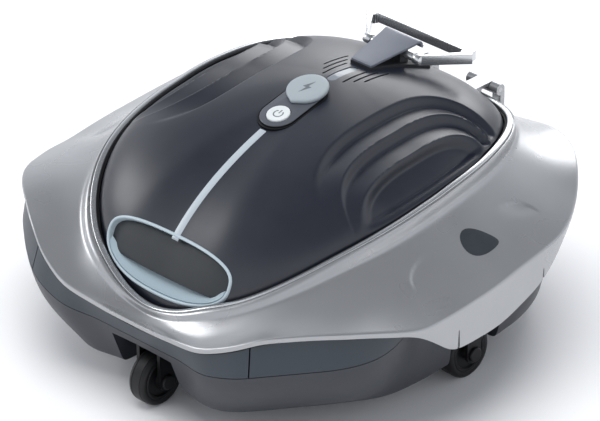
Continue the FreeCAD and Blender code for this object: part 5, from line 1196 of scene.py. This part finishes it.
def makeBadge(side):
    # plain drop on the wing, following its face
    shellTree = BVHTree.FromPolygons([tuple(vertex.co / mm) for vertex in shellPiece.data.vertices],
                                     [tuple(polygon.vertices) for polygon in shellPiece.data.polygons])
    turn = math.radians(badgeValues["turn"])
    rows = []
    for shrink, lift in ((0.0, -0.5), (0.0, badgeValues["rise"] * 0.7), (0.35, badgeValues["rise"]), (3.2, badgeValues["rise"]),
                         (6.2, badgeValues["rise"]), (8.6, badgeValues["rise"])):
        ring = []
        for step in range(56):
            angle = 2 * math.pi * step / 56
            along = (badgeValues["length"] / 2.0 - shrink) * math.cos(angle)
            across = (badgeValues["width"] / 2.0 - shrink) * math.sin(angle) * (1.0 - 0.42 * math.cos(angle))
            x = badgeValues["x"] + across * math.cos(turn) - along * math.sin(turn)
            y = badgeValues["y"] + across * math.sin(turn) + along * math.cos(turn)
            hit = shellTree.ray_cast(Vector((side * x, y, 300.0)), Vector((0.0, 0.0, -1.0)))
            ring.append(tuple(hit[0] + hit[1].normalized() * lift))
        rows.append(ring)
    return faceOut(makeMesh("wingBadgeRight" if side > 0 else "wingBadgeLeft", *loopSolid(rows), "badge", 60.0))


for side in (-1, 1):
    place(makeBadge(side), "base", "band_plastic")
print("badges ready")


# ---- studio, camera ----

studioValues = {"sky": ((0.42, (0.86, 0.89, 0.94)), (0.60, (0.62, 0.65, 0.70)), (0.80, (0.22, 0.235, 0.26))),
                "lamps": (("overheadLight", (0.2, -0.3, 2.5), 2.2, 48.0, False), ("backLight", (-1.4, 2.4, 1.3), 1.8, 26.0, True),
                          ("leftLight", (-2.2, -0.9, 1.3), 1.2, 14.0, True))}


def makeStudio():
    floorMesh = bpy.data.meshes.new("studioFloor")
    size = 6.0
    floorMesh.from_pydata([(-size, -size, 0), (size, -size, 0), (size, size, 0), (-size, size, 0)], [], [(0, 1, 2, 3)])
    floor = bpy.data.objects.new("studioFloor", floorMesh)
    bpy.context.scene.collection.objects.link(floor)
    material = bpy.data.materials.new("floorPale")
    material.use_nodes = True
    shader = material.node_tree.nodes["Principled BSDF"]
    shader.inputs["Base Color"].default_value = (0.93, 0.93, 0.94, 1.0)
    shader.inputs["Roughness"].default_value = 0.9
    shader.inputs["Specular IOR Level"].default_value = 0.1
    floorMesh.materials.append(material)
    bpy.context.scene.world = makeWorld()
    for name, position, size, power, glossy in studioValues["lamps"]:
        light = bpy.data.lights.new(name, "AREA")
        light.shape = "DISK"
        light.size = size
        light.energy = power
        lamp = bpy.data.objects.new(name, light)
        lamp.location = position
        lamp.rotation_euler = (Vector((0, 0, 0.1)) - Vector(position)).to_track_quat("-Z", "Y").to_euler()
        lamp.visible_glossy = glossy
        bpy.context.scene.collection.objects.link(lamp)


def makeWorld():
    # pale backdrop low down, darker overhead, as in a small tent
    world = bpy.data.worlds.new("studioWorld")
    world.use_nodes = True
    tree = world.node_tree
    coords = tree.nodes.new("ShaderNodeTexCoord")
    split = tree.nodes.new("ShaderNodeSeparateXYZ")
    ramp = tree.nodes.new("ShaderNodeValToRGB")
    wire(tree, coords.outputs["Generated"], split.inputs["Vector"])
    wire(tree, split.outputs["Z"], ramp.inputs["Fac"])
    wire(tree, ramp.outputs["Color"], tree.nodes["Background"].inputs["Color"])
    stops = ramp.color_ramp.elements
    stops[0].position, stops[1].position = 0.0, 1.0
    stops[0].color, stops[1].color = (0.80, 0.83, 0.88, 1.0), (0.16, 0.17, 0.19, 1.0)
    for position, tone in studioValues["sky"]:
        stop = stops.new(position)
        stop.color = (*tone, 1.0)
    tree.nodes["Background"].inputs["Strength"].default_value = 1.0
    return world


def makeCamera():
    azimuth, elevation, distance = math.radians(44.0), math.radians(29.2), 3.473
    target = Vector((0.0, -0.004, 0.100))
    away = Vector((math.sin(azimuth) * math.cos(elevation), -math.cos(azimuth) * math.cos(elevation), math.sin(elevation)))
    data = bpy.data.cameras.new("viewCamera")
    data.lens = 276.0
    data.sensor_width = 36.0
    camera = bpy.data.objects.new("viewCamera", data)
    camera.location = target + away * distance
    camera.rotation_euler = (-away).to_track_quat("-Z", "Y").to_euler()
    bpy.context.scene.collection.objects.link(camera)
    bpy.context.scene.camera = camera


makeStudio()
makeCamera()
bpy.context.scene.view_settings.view_transform = "Standard"
print("studio and camera ready")
